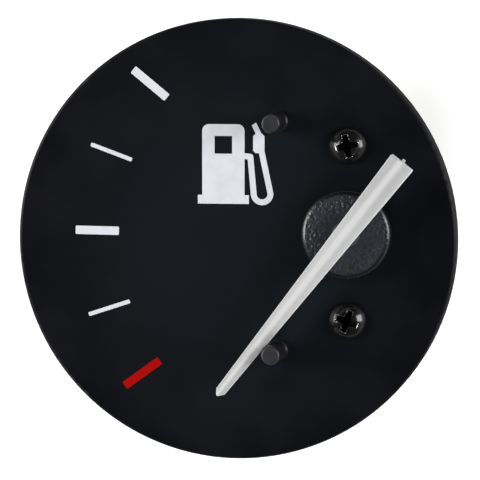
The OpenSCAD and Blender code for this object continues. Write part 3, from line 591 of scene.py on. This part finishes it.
# %% Give every node its finish
for name, node in nodes.items():
    for holder in node.material_slots:
        holder.material = finish[holder.material.name.split(".")[0]]
print("dressed", len(nodes), "nodes")

# %% [markdown]
# ## The needle
#
# The needle is one moulding: a long blade that tapers from a square tail to a narrow tip, with a roof-shaped
# top, a square nub at the tail where the plastic was fed in, and a spigot below that sits in the hub. It
# could be a wedge with a Bevel modifier, but then all edges get the same rounding. Here a cross-section is
# carried along the blade: its half width and ridge height fall evenly from tail to tip, its corners keep
# their own roundings, and near both ends the section shrinks as a quarter circle.

# %% Needle sizes
TAIL, AHEAD, SHOULDER = 12.7, 27.7, 0.7
HALF_TAIL, HALF_TIP, HALF_END = 3.6 / 2, 1.4 / 2, 0.3 / 2
RIDGE_TAIL, RIDGE_TIP, ROOF_FALL = 2.0, 1.1, 0.55
SPIGOT_R, SPIGOT_L = 0.7, 1.1
blade_z = corners("needle")[0][2] + SPIGOT_L
needle_points = np.array([v.co for v in nodes["needle"].data.vertices]) / MM
reach = np.hypot(*(needle_points[:, :2] - pivot).T)
tip_at = needle_points[reach > reach.max() - 0.05][:, :2].mean(0) - pivot
REST = np.arctan2(tip_at[1], tip_at[0])
print("needle foot at", blade_z.round(3), "points along", (np.degrees(REST) % 360).round(2), "degrees")


# %% Needle skin
def blade_section(half, ridge, rim=0.16, crest=0.5):
    """Cross-section of the blade, rounded at its five corners: flat foot, upright sides, and two slopes that
    meet in a ridge. The sides' height is the ridge less the roof's fall at that width."""
    eave = ridge - ROOF_FALL * half / HALF_TAIL
    line = [(0, 0), (half, 0), (half, eave), (0, ridge), (-half, eave), (-half, 0), (0, 0)]
    return round_corners(line, [0, 0.1, rim, crest * half, rim, 0.1, 0], steps=7)[:-1]


def needle_blade(rows=90, lip=0.22):
    """Sections from tail to tip. Half width and ridge fall evenly, the width narrows faster over the
    shoulder, and within lip of the ends all shrinks by 0.8 lip (1 - sqrt(1 - q^2)), where q is how far into
    the lip the section lies."""
    x = np.r_[-TAIL + lip * (1 - np.cos(np.linspace(0, np.pi / 2, 8)))[:-1],
              np.linspace(-TAIL + lip, AHEAD - SHOULDER, rows),
              np.linspace(AHEAD - SHOULDER, AHEAD - 0.6 * lip, 7)[1:],
              AHEAD - 0.6 * lip * (1 - np.sin(np.linspace(0, np.pi / 2, 6)))[1:]]
    half = np.interp(x, (-TAIL, AHEAD - SHOULDER, AHEAD), (HALF_TAIL, HALF_TIP, HALF_END))
    ridge = np.interp(x, (-TAIL, AHEAD), (RIDGE_TAIL, RIDGE_TIP))
    ends = np.maximum(np.clip(-TAIL + lip - x, 0, lip), np.clip(x - AHEAD + 0.6 * lip, 0, lip)) / lip
    inset = lip * 0.8 * (1 - np.sqrt(np.clip(1 - ends ** 2, 0, 1)))
    flat = np.array([blade_section(h, r) for h, r in zip(half, ridge)])
    middle = np.stack([np.zeros_like(x), ridge / 2], -1)[:, None]
    flat = middle + (flat - middle) * np.clip(1 - inset / half, 0.05, 1)[:, None, None]
    points = capped(np.concatenate([np.broadcast_to(x[:, None, None], (*flat.shape[:2], 1)), flat], -1))
    return points, blade_light_share(points)


def blade_light_share(points):
    """How much painted light each point of the blade gets: 1 on the crest and at the rims, falling off like a
    bell curve across the blade, and 1.2 s (1 - s) more halfway along. The left slope gets more painted shade
    near the tail."""
    x, y, _ = np.moveaxis(points, -1, 0)
    s = (x + TAIL) / (TAIL + AHEAD)
    across = y / (HALF_TAIL + (HALF_TIP - HALF_TAIL) * s)
    crest = np.exp(-((across + 0.12) / 0.3) ** 2)
    rims = np.exp(-((np.abs(across) - 1) / 0.08) ** 2)
    return np.clip(np.maximum(crest, rims) + 1.2 * s * (1 - s) - 0.15 * (across < -0.2) * (1 - s), 0, 1)


def place_pointer(points):
    """Turns points of the needle's own frame by its rest angle about the spindle, on top of the hub."""
    c, s = np.cos(REST), np.sin(REST)
    x, y, z = np.moveaxis(points, -1, 0)
    return np.stack([pivot[0] + c * x - s * y, pivot[1] + s * x + c * y, blade_z + z], -1)


NUB_Z, NUB_X = 0.55, -TAIL - np.array([-0.1, -0.1, 0.34, 0.4, 0.4])[:, None]
NUB_HALF = np.array([0, 0.25, 0.24, 0.18, 0])[:, None]
square = round_corners([(0, -1), (1, -1), (1, 1), (-1, 1), (-1, -1), (0, -1)],
                       [0, .25, .25, .25, .25, 0], 4)[:-1]
nub_rows = np.stack(np.broadcast_arrays(NUB_X, NUB_HALF * square[:, 0], NUB_Z + NUB_HALF * square[:, 1]), -1)
spigot = lathe(round_corners([(0, 0.1), (SPIGOT_R, 0.1), (SPIGOT_R, -SPIGOT_L), (0, -SPIGOT_L)],
                             [0, 0, 0.15, 0]), *pivot, blade_z, sides=48)
# The blade carries a number for painted light and shade, which its finish turns into paler and darker grey.
blade, blade_light_levels = needle_blade()
nub = skin(place_pointer(nub_rows), clean=0.5)
make_piece("needle_moulding", [skin(place_pointer(blade), clean=blade_light_levels), nub, spigot], "needle_white",
           ["needle"], "pointer", sharp=50)

# %% [markdown]
# ## The hub cap
#
# The cap is a hollow turned shape, so a lathe is the natural way. The real one has a smooth middle, a
# pebbly ring and a soft, rounded border. The pebbles are partly real: the top rows of the lathe are moved
# by a sum of waves in random directions, and the material adds the finer craters.

# %% Hub sizes and skin
HUB_R, HUB_TOP, HUB_GAP, HUB_WALL = 6.05, 2.7, 0.9, 0.9
STEM_R, STEM_TOP, STEM_FOOT = 1.7, 4.0, 0.5
BUSH_R, BUSH_TOP = 1.0, 2.1
HUB_ROUND, PEBBLE_W, PEBBLE_H = 0.7, 0.7, 0.036


def pebbles(x, y, size, seed, waves=40):
    """Round bumps about as wide as size: the sum of cosine waves of about that length in random directions
    and phases, over twice the root of their number, so that most of it lies between -1 and 1."""
    draw = np.random.default_rng(seed)
    a, phase = draw.uniform(0, 2 * np.pi, (2, waves))
    k = 2 * np.pi / size * draw.uniform(0.7, 1.3, waves)
    wave = np.cos(k * (x[..., None] * np.cos(a) + y[..., None] * np.sin(a)) + phase)
    return wave.sum(-1) / np.sqrt(waves) / 2


def hub_skin():
    """Lathe of the cap's outline, from the stem's top out over the face and back underneath to the bore.
    The face between r = 2.2 and the border moves up and down by pebbles. Each point carries how strongly
    the fine craters show there and how far it belongs to the shoulder, where the colour gets painted shade."""
    face = np.linspace(STEM_R + 0.15, HUB_R - HUB_ROUND, 46)
    arc = np.linspace(0, np.pi / 2, 9)[1:]
    inner, ceiling = HUB_R - HUB_WALL, HUB_TOP - HUB_WALL
    top = np.r_[[[SPIGOT_R, STEM_TOP], [STEM_R - 0.12, STEM_TOP], [STEM_R, STEM_TOP - 0.12],
                 [STEM_R, HUB_TOP + 0.15]],
                np.c_[face, np.full_like(face, HUB_TOP)],
                np.c_[HUB_R - HUB_ROUND * (1 - np.sin(arc)), HUB_TOP - HUB_ROUND * (1 - np.cos(arc))]]
    under = [(HUB_R, HUB_GAP + 0.12), (HUB_R - 0.12, HUB_GAP), (inner, HUB_GAP), (inner, ceiling - 0.2),
             (inner - 0.2, ceiling), (STEM_R, ceiling), (STEM_R, STEM_FOOT), (BUSH_R, STEM_FOOT),
             (BUSH_R, BUSH_TOP), (0, BUSH_TOP)]
    floor_of_socket = [(0, STEM_TOP - SPIGOT_L), (SPIGOT_R, STEM_TOP - SPIGOT_L)]
    line = np.r_[floor_of_socket, top, under]
    made = lathe(line, *pivot, face_z, sides=192)
    x, y, z = np.moveaxis(made["points"], -1, 0)
    r = np.hypot(x - pivot[0], y - pivot[1])
    on_face = (np.abs(z - face_z - HUB_TOP) < 0.35) & (r > STEM_R + 0.1)
    ring = np.clip((r - 2.2) / 1.5, 0, 1) * np.clip((HUB_R - 0.4 - r) / 0.5, 0, 1)
    z += np.where(on_face, PEBBLE_H * ring * pebbles(x, y, PEBBLE_W, 7), 0)
    made["carried"]["rub"] = np.where(on_face, 0.15 + 0.85 * ring, 0.1)
    # How far a point lies on the shoulder, whose colour gets painted shade.
    made["carried"]["shoulder"] = smooth((r - HUB_R + 0.85) / 0.4)
    print("hub pebbles within", np.ptp(z[on_face]).round(3), "mm")
    return made


make_piece("hub_moulding", [hub_skin()], "hub_grey", ["hub_cap"], "pointer")

# %% [markdown]
# ## The stop pegs
#
# Each peg is a moulded pin: a collar that sits on the dial, a shaft with a trace of draft so it leaves the
# mould, a rounded top, and a tail that was staked over behind the dial. A lathe does all of it. The top face
# is matt and painted paler than the skin, a painted highlight: each vertex says how much of it is painted.

# %% Pegs
PEG_R, PEG_H, COLLAR_R, COLLAR_H, SHANK_R, STAKE_H, PLATE_T = 1.3, 6.8, 1.5, 0.4, 0.9, 0.6, 1.2
peg_line = round_corners(
    [(0, PEG_H), (PEG_R - 0.75, PEG_H), (PEG_R - 0.75, PEG_H), (PEG_R - 0.03, PEG_H), (PEG_R, COLLAR_H),
     (COLLAR_R, COLLAR_H), (COLLAR_R, 0), (SHANK_R, 0), (SHANK_R, -PLATE_T), (PEG_R, -PLATE_T),
     (PEG_R, -PLATE_T - STAKE_H), (0, -PLATE_T - STAKE_H)],
    [0, 0, 0, 0.5, 0.12, 0.12, 0, 0, 0, 0.1, 0.3, 0], steps=8)
# How much of the painted highlight each point of the peg's outline gets: all of the top face.
peg_top_light = smooth((peg_line[:, 1:] - PEG_H + 0.12) / 0.1)
pegs = [lathe(peg_line, *spot, face_z, sides=64, cut=peg_top_light) for spot in pair("stop_pegs", COLLAR_R)]
make_piece("peg_pair", pegs, "peg_black", ["stop_pegs"])

# %% [markdown]
# ## Screws
#
# A pan-head screw is a lathe whose top is pressed in by the cross recess: its height is that of a ball-shaped
# dome less the recess' depth. With the larger of |x| and |y| as the way along an arm of the cross and the
# smaller as the way across it, one formula gives all four arms. An arm flares towards the middle, where it
# is deepest. Below the head, the shank's radius follows a helix: a tooth runs on where the height over the
# pitch and the share of the turn add up to the same.

# %% Screw skin
HEAD_R, HEAD_H, RIM_H, SCREW_R, THREAD_DEPTH, PITCH = 2.5, 1.7, 0.35, 1.25, 0.2, 0.45
ARM_L, ARM_HALF, RECESS = 1.64, 0.34, 1.15


def cross_recess(x, y):
    """Depth of the cross. With a and b the larger and the smaller of |x| and |y|, the arm's half width is its
    end width plus a flare that dies away with a, and the floor climbs from the middle to the arm's end."""
    a, b = np.maximum(np.abs(x), np.abs(y)), np.minimum(np.abs(x), np.abs(y))
    half = ARM_HALF + 0.3 * np.exp(-(a / 0.75) ** 2) + 0.1 * a / ARM_L
    wall = smooth((half - b) / 0.14)
    floor = smooth((ARM_L - a) / 0.4) * (0.5 + 0.5 * smooth(1 - a / ARM_L))
    return RECESS * wall * floor


def screw(x, y, seat, down, length, turn, sides=112):
    """One screw with its head's seat at a height: down is -1 for a head on top and 1 for one from below, and
    turn is how far the cross is turned, in degrees. The dome is a part of a ball."""
    a = angles(sides)
    r = np.r_[np.linspace(0, ARM_L, 46), np.linspace(ARM_L, HEAD_R - 0.02, 14)[1:]]
    ball = (HEAD_R ** 2 + (HEAD_H - RIM_H) ** 2) / (2 * (HEAD_H - RIM_H))
    dome = HEAD_H - ball + np.sqrt(ball ** 2 - r ** 2)
    spin = a - np.radians(turn)
    dent = cross_recess(r[:, None] * np.cos(spin), r[:, None] * np.sin(spin))
    slope = np.hypot(np.gradient(dent, axis=0), np.gradient(dent, axis=1))
    lip = smooth(slope / 0.05) * (dent < 0.35 * RECESS)
    side_r = np.array([HEAD_R, HEAD_R, HEAD_R - 0.08, SCREW_R])
    side_z = np.array([RIM_H - 0.04, 0.08, 0, 0])
    z = np.linspace(0, -length, int(length / PITCH * 7))[1:]
    tooth = 1 - np.abs(2 * np.mod(z[:, None] / PITCH + a / (2 * np.pi), 1) - 1)
    run_out = smooth(-z / 0.6) * smooth((z + length) / 0.3)
    taper = 0.25 * smooth(1 - (z + length) / 0.3)[:, None]
    shank = SCREW_R - THREAD_DEPTH * (1 - tooth) * run_out[:, None] - taper
    rows_r = stack_rows(sides, r, side_r, shank, [0])
    rows_z = stack_rows(sides, dome[:, None] - dent, side_z, z, [-length])
    worn, pit = np.zeros((2, *rows_r.shape))
    # The rim of the recess carries wear that is also a painted highlight, and its depth carries painted
    # shade.
    worn[:len(dent)], pit[:len(dent)] = 0.85 * lip, dent / RECESS
    return upright(rows_r, seat - down * rows_z, a, x, y, wear=worn, pit=pit)


DIAL_SCREW_L, POST_SCREW_L = 6.0, 5.5
dial_screws = [screw(*spot, face_z, -1, DIAL_SCREW_L, turn)
               for spot, turn in zip(pair("dial_screws", HEAD_R), (12, -20))]
make_piece("dial_screw_pair", dial_screws, "black_zinc", ["dial_screws"], sharp=40)
post_low, post_high = corners("spacer_screws")
post_spots = pair("spacer_screws", HEAD_R)
post_screws = [screw(*spot, seat, down, POST_SCREW_L, turn, 64)
               for seat, down, turn in ((post_high[2] - HEAD_H, -1, 30), (post_low[2] + HEAD_H, 1, 60))
               for spot in post_spots]
make_piece("post_screws", post_screws, "zinc_steel", ["spacer_screws"], sharp=40)

# %% [markdown]
# ## Hexagon posts, studs, nuts and washers
#
# Bar stock with six flats is a lathe with a radius that depends on the direction. A turned chamfer on such a
# bar is a cone: the end face falls away with the radius, and where it meets the flats, the well-known arcs
# appear by themselves. The studs have a plain contact pin below, a rolled thread for the nut and a hexagon
# head above the solder tag. The spring washers are split, and their cut is slanted.

# %% Hexagon helpers
SIXTH, CONE = np.pi / 3, np.tan(np.pi / 6)


def hexagon_bar(low, high, flats, x, y, hole=0.0, sides=96, **more):
    """A hexagon bar, with a corner at a = 0 and a hole or none. The radius of its side is half the width
    across the flats over the cosine of the angle to the nearest flat's middle. Where the radius passes half
    that width, the end face falls by tan 30 degrees times what it is past it."""
    a = angles(sides)
    six = flats / 2 / np.cos(np.mod(a, SIXTH) - SIXTH / 2)
    rows_r = hole + (six - hole) * np.linspace(0, 1, 7)[1:, None]
    fall = CONE * np.clip(rows_r - flats / 2 + 0.02, 0, None)
    r = stack_rows(sides, [hole], rows_r, rows_r[::-1], [hole])
    z = stack_rows(sides, [low], low + fall, (high - fall)[::-1], [high])
    return upright(r, z, a, x, y, **more)


SPACER_FLATS = 5.0
spacer_foot, spacer_top = (corner[2] for corner in corners("spacers"))
posts = [hexagon_bar(spacer_foot, spacer_top, SPACER_FLATS, *spot) for spot in post_spots]
make_piece("hex_posts", posts, "turned_brass", ["spacers"])

# %% Studs, nuts and washers
STUD_PCD, STUD_R, PIN_R, PIN_L, STUD_FLATS, STUD_PITCH, STUD_THREAD = 37.2, 2.0, 1.6, 5.6, 6.0, 0.7, 0.32
NUT_FLATS, THREAD_PLAY, WASHER_R, TAG_T = 7.0, 0.02, 3.5, 0.5
stud_low, stud_high = corners("contact_studs")
ring_x = stud_low[0] + STUD_FLATS / 2 / np.cos(SIXTH / 2) + STUD_PCD / 2
stud_spots = [(ring_x + STUD_PCD / 2 * np.cos(t), pivot[1] + STUD_PCD / 2 * np.sin(t))
              for t in np.radians([180, 60, -60])]
nut_low, nut_high = corners("stud_nuts")
washer_low, washer_high = corners("lock_washers")


def stud(x, y, sides=72):
    """Pin with a rounded nose, a cone up to the thread, and the thread's helix up to the head's foot."""
    nose = round_corners([(0, 0), (PIN_R, 0), (PIN_R, PIN_L), (STUD_R - 0.45, PIN_L)], [0, 0.5, 0.05, 0], 8)
    z = np.linspace(PIN_L, base_top + TAG_T, 100)
    a = angles(sides)
    tooth = 1 - np.abs(2 * np.mod(z[:, None] / STUD_PITCH - a / (2 * np.pi), 1) - 1)
    start = smooth((z - PIN_L) / 0.6)[:, None]
    r = STUD_R - (STUD_R - PIN_R) * (1 - start) - STUD_THREAD * (1 - tooth) * start
    return upright(stack_rows(sides, nose[:, 0], r, [0]), stack_rows(sides, nose[:, 1], z, z[-1:]), a, x, y)


studs = [half for spot in stud_spots
         for half in (stud(*spot), hexagon_bar(base_top + TAG_T, stud_high[2], STUD_FLATS, *spot))]
make_piece("stud_set", studs, "stud_brass", ["contact_studs"], sharp=40)

# A nut's rows run over both end faces and back through the bore, so they loop.
nuts = [hexagon_bar(nut_low[2], nut_high[2], NUT_FLATS, *spot, hole=STUD_R + THREAD_PLAY, loop_rows=True)
        for spot in stud_spots]
make_piece("nut_set", nuts, "stud_brass", ["stud_nuts"])


def split_washer(x, y, gap=0.075, slant=0.35, sides=90):
    """A rounded section carried round almost a full turn. The split is slanted: a point's direction moves on
    with its height, by slant for the whole thickness."""
    low, high, inner = washer_low[2], washer_high[2], STUD_R + 0.1
    section = round_corners([((inner + WASHER_R) / 2, low), (WASHER_R, low), (WASHER_R, high), (inner, high),
                             (inner, low), ((inner + WASHER_R) / 2, low)], [0, .2, .2, .2, .2, 0], 5)[:-1]
    t = np.linspace(gap, 2 * np.pi - gap, sides)[:, None] + np.radians(60)
    t = t + slant * ((section[:, 1] - low) / (high - low) - 0.5)[None, :]
    return skin(capped(upright(section[:, 0], section[:, 1], t, x, y)["points"]))


make_piece("washer_set", [split_washer(*spot) for spot in stud_spots], "zinc_steel", ["lock_washers"])

# %% [markdown]
# ## The crossed windings
#
# Each coil is wound in two bundles round the bobbin, one either side of the spindle. A bundle is a racetrack
# path with a box-shaped section, and its outside shows the top layer of wire. So the section's outer side
# is a row of half rounds, one for each strand, which run round the racetrack as geometry.

# %% Windings
STRAND, BUNDLE_T, BUNDLE_W, BUNDLE_OFF = 0.22, 1.2, 3.3, 3.75


def racetrack(half_l, half_h, radius, bend=7):
    """A rounded rectangle as points and outward directions. Each corner is a quarter circle."""
    quarter = np.linspace(0, np.pi / 2, bend)
    turns = (quarter[None, :] + np.arange(4)[:, None] * np.pi / 2).ravel()
    out = np.stack([np.cos(turns), np.sin(turns)], -1)
    sign = np.repeat([(1, 1), (-1, 1), (-1, -1), (1, -1)], bend, axis=0)
    middle = sign * np.array([half_l - radius, half_h - radius])
    return middle + radius * out, out


def bundle(centre, across, along, half_l, half_h, offset, radius=0.6):
    """One bundle: at each place of the racetrack the section has a flat inside, flat cheeks and an outside
    of half rounds, |sin| of the way across over the strand's width, drawn up a little by a power of 0.7."""
    line, out = racetrack(half_l, half_h, radius)
    strands = int(round(BUNDLE_W / STRAND))
    w = np.linspace(-0.5, 0.5, strands * 6 + 1)
    bulge = 0.5 * STRAND * (np.abs(np.sin(np.pi * strands * (w + 0.5))) ** 0.7 - 1)
    outer = np.stack([w * BUNDLE_W, BUNDLE_T + bulge], -1)
    section = np.concatenate([[(-BUNDLE_W / 2, 0)], outer, [(BUNDLE_W / 2, 0)]])
    flat = line[:, None] + out[:, None] * section[None, :, 1:]
    side = np.broadcast_to(offset + section[None, :, :1], (*flat.shape[:2], 1))
    return skin(centre + side * across + flat[..., :1] * along + flat[..., 1:] * UP, loop_rows=True)


def winding(node, along, across):
    """Both bundles of one coil, either side of the spindle. Its length and height are read from the node's
    box: half of each, less the bundle's thickness, is where the racetrack's inside lies."""
    low, high = corners(node)
    size = (high - low) / 2 - BUNDLE_T
    return [bundle((low + high) / 2, across, along, size @ along, size[2], side * BUNDLE_OFF)
            for side in (-1, 1)]


x_way, y_way = np.eye(3)[:2]
for name, node, along, across in (("inner_winding", "inner_coil", y_way, x_way),
                                  ("outer_winding", "outer_coil", x_way, y_way)):
    make_piece(name, winding(node, along, across), "enamelled_wire", [node], sharp=60)

# %% [markdown]
# ## Resistor, wires and solder
#
# The resistor hangs by its own wires between two solder tags. Its body is a lathe on its side: thicker caps,
# a waist and rounded ends. The wires are tubes along paths with softened corners, and each ends in a solder
# cone on its tag. The path's corner points repeat the route of the CAD solids.

# %% Wire routes
LUG_FACE, LUG_W, LUG_H, LEG_R, LEAD_R = 4.85, 2.6, 3.8, 0.3, 0.2
SPACER_REACH, WIRE_Z = 17.6, base_top + 0.4 * LUG_H
leg_start = np.array([stud_spots[0][0] + LUG_FACE + LEG_R, stud_spots[0][1] + LUG_W / 4, WIRE_Z])
leg_end = np.array([stud_spots[1][0] - LUG_FACE - LEG_R, stud_spots[1][1] - LUG_W / 4, WIRE_Z])
can_low, can_high = corners("shield_can")
can_r = (can_high[0] - can_low[0]) / 2
spacer_in = SPACER_REACH - SPACER_FLATS / 2 / np.cos(SIXTH / 2)
leg_bend = np.array([*(pivot + (can_r + spacer_in) / 2 * np.array([-1, 1]) * np.sqrt(0.5)), WIRE_Z])
leg_way = (leg_bend - leg_start) / np.linalg.norm(leg_bend - leg_start)
BODY_R, BODY_L, CAP_L, WAIST = 1.5, 6.5, 1.3, 0.15
body_foot = leg_start + leg_way * (np.linalg.norm(leg_bend - leg_start) - BODY_L) / 2
print("resistor from", body_foot.round(2), "to", (body_foot + leg_way * BODY_L).round(2))


def soft_path(points, radius, steps=8):
    """A path through points with its corners softened, and each straight part split in four."""
    line = round_corners(points, [radius] * len(points), steps)
    share = np.linspace(0, 1, 4, endpoint=False)[:, None]
    pieces = [a + (b - a) * share for a, b in zip(line[:-1], line[1:])]
    return np.concatenate(pieces + [line[-1:]])


def lying_lathe(profile, foot, way, sides=48):
    """A lathe whose axis lies level: a point is foot + h way + r (cos a side + sin a up)."""
    r, h = np.asarray(profile, float).T
    a = angles(sides)[:, None]
    out = np.cos(a) * np.cross(way, UP) + np.sin(a) * UP
    return skin(foot + h[:, None, None] * way + r[:, None, None] * out, along=h[:, None])


body_line = round_corners(
    [(0, 0), (BODY_R, 0), (BODY_R, CAP_L), (BODY_R - WAIST, CAP_L + 0.3),
     (BODY_R - WAIST, BODY_L - CAP_L - 0.3), (BODY_R, BODY_L - CAP_L), (BODY_R, BODY_L), (0, BODY_L)],
    [0, 0.5, 0.3, 0.3, 0.3, 0.3, 0.5, 0], 8)
here, there = np.linspace(0, 1, 120), np.linspace(0, 1, len(body_line))
fine_line = np.stack([np.interp(here, there, body_line[:, k]) for k in (0, 1)], -1)
bead = lying_lathe(fine_line, body_foot, leg_way)
make_piece("resistor_bead", [bead], "resistor_body", ["resistor"], sharp=60)
INTO_BODY, LEG_BEND = 0.2, 1.2
body_head = body_foot + (BODY_L - INTO_BODY) * leg_way
legs = [tube(soft_path([leg_start, body_foot + INTO_BODY * leg_way], 0.2), LEG_R),
        tube(soft_path([body_head, leg_bend, leg_end], LEG_BEND), LEG_R)]
make_piece("resistor_wires", legs, "tinned_wire", ["resistor_legs"])

# %% Coil leads and solder
lead_top = corners("coil_leads")[1][2] - LEAD_R
coil_low, coil_high = corners("inner_coil")
lead_paths = [np.array([[corners("outer_coil")[0][0], pivot[1] + BUNDLE_OFF, WIRE_Z],
                        [stud_spots[0][0] + LUG_FACE + LEAD_R, pivot[1] - LUG_W / 4, WIRE_Z]])]
for (x, y), edge in zip(stud_spots[1:], (coil_high[1] + LEAD_R, coil_low[1] - LEAD_R)):
    lead_paths.append(np.array([[pivot[0] - BUNDLE_OFF, edge, lead_top],
                                [x - LUG_FACE + TAG_T + LEAD_R, y, base_top + LUG_H / 2]]))
print("lead ends", [np.round(p[1], 2).tolist() for p in lead_paths])


def slack(path, sag):
    """A wire that hangs a little between its two ends: the straight line less sag * 4 s (1 - s) in height."""
    s = np.linspace(0, 1, 24)[:, None]
    return path[0] + (path[1] - path[0]) * s - sag * UP * 4 * s * (1 - s)


leads = [tube(slack(path, sag), LEAD_R, 14) for path, sag in zip(lead_paths, (0.0, 0.15, 0.15))]
make_piece("coil_wires", leads, "enamelled_wire", ["coil_leads"])


SOLDER_T = 0.02


def solder(end, way, reach, width, wire_r):
    """A cone of solder where a wire's end meets its tag, one wire's radius behind it: its radius falls from
    width to the wire's as (1 - h)^2.2 along the wire."""
    h = np.linspace(0, 1, 14)
    r = wire_r + SOLDER_T + (width - wire_r) * (1 - h) ** 2.2
    line = np.r_[[(0, -SOLDER_T)], np.c_[r, h * reach], [(0, reach)]]
    return lying_lathe(line, end - wire_r * way, way, sides=28)


blobs = [solder(leg_start, x_way, 1.3, 0.62, LEG_R), solder(leg_end, -x_way, 1.3, 0.62, LEG_R)]
blobs += [solder(path[1], x_way, 0.9, 0.55, LEAD_R) for path in lead_paths]
make_piece("solder_joints", blobs, "tinned_wire")

# %% [markdown]
# ## Floor and light
#
# The photograph is a product shot on pure white: wide soft lamps stand low on the left and the right, the
# left one stronger, and nothing bright stands where the flat dial would mirror it. So the sky is pale at
# the horizon and to both sides, which gives pegs, hub and screws their bright edges, and dark overhead,
# which keeps the dial black. A third lamp, below the dial in the picture, lights the needle's right slope,
# and gloss doesn't mirror it. The floor is plain and pale, and glows a little so that no shadow greys it.

# %% Floor
FLOOR_HALF, FLOOR_CELLS = 3.0, 12
# A level grid at height 0: x and y each run from minus to plus FLOOR_HALF, in metres.
x, y = np.meshgrid(*[np.linspace(-FLOOR_HALF, FLOOR_HALF, FLOOR_CELLS)] * 2, indexing="ij")
faces = quads(FLOOR_CELLS, FLOOR_CELLS, False, False, 0)
mesh = bpy.data.meshes.new("floor")
mesh.from_pydata(np.stack([x, y, 0 * x], -1).reshape(-1, 3).tolist(), [], faces.tolist())
paper = Finish("floor_paper")
paper.set(paper.mix(paper.noise(400.0), (0.86, 0.86, 0.86), (0.9, 0.9, 0.9)), 0.8,
          Emission_Color=(1.0, 1.0, 1.0), Emission_Strength=0.5)
mesh.materials.append(paper.material)
floor = new_object("floor", mesh)
print("floor", 2 * FLOOR_HALF, "m wide")

# %% Sky and lamps
world = bpy.data.worlds.new("sky")
bpy.context.scene.world = world
sky = Sheet(world)
way = sky.node("SeparateXYZ", {0: sky.node("TexCoord", out="Generated")})
height = way.also("Z")
horizon = 1 - height.between(0.03, 0.16)
sides = way.size().between(0.5, 0.9) * (1 - height.between(0.3, 0.65))
strength = 0.03 + horizon * 0.3 + sides * 0.5
glow = sky.node("Background", {"Color": (1.0, 1.0, 1.0), "Strength": strength})
sky.node("OutputWorld", {0: glow})


def lamp(name, spot, size, watts, mirrored=True):
    """A square soft lamp at a spot in metres that faces the dial; mirrored says whether gloss shows it."""
    light = bpy.data.lights.new(name, "AREA")
    light.shape, light.size, light.energy = "SQUARE", size, watts
    holder = new_object(name, light)
    holder.location = Vector(spot)
    holder.rotation_euler = (Vector(target) - Vector(spot)).to_track_quat("-Z", "Y").to_euler()
    holder.visible_camera, holder.visible_glossy = False, mirrored
    print("lamp", name, watts, "W")


lamp("key_left", (-0.48, 0.06, 0.28), 0.29, 3.0)
lamp("fill_right", (0.5, 0.09, 0.26), 0.28, 2.6)
lamp("below_dial", (0.02, -0.5, 0.42), 0.35, 2.1, mirrored=False)
bpy.context.scene.view_settings.view_transform = "Standard"
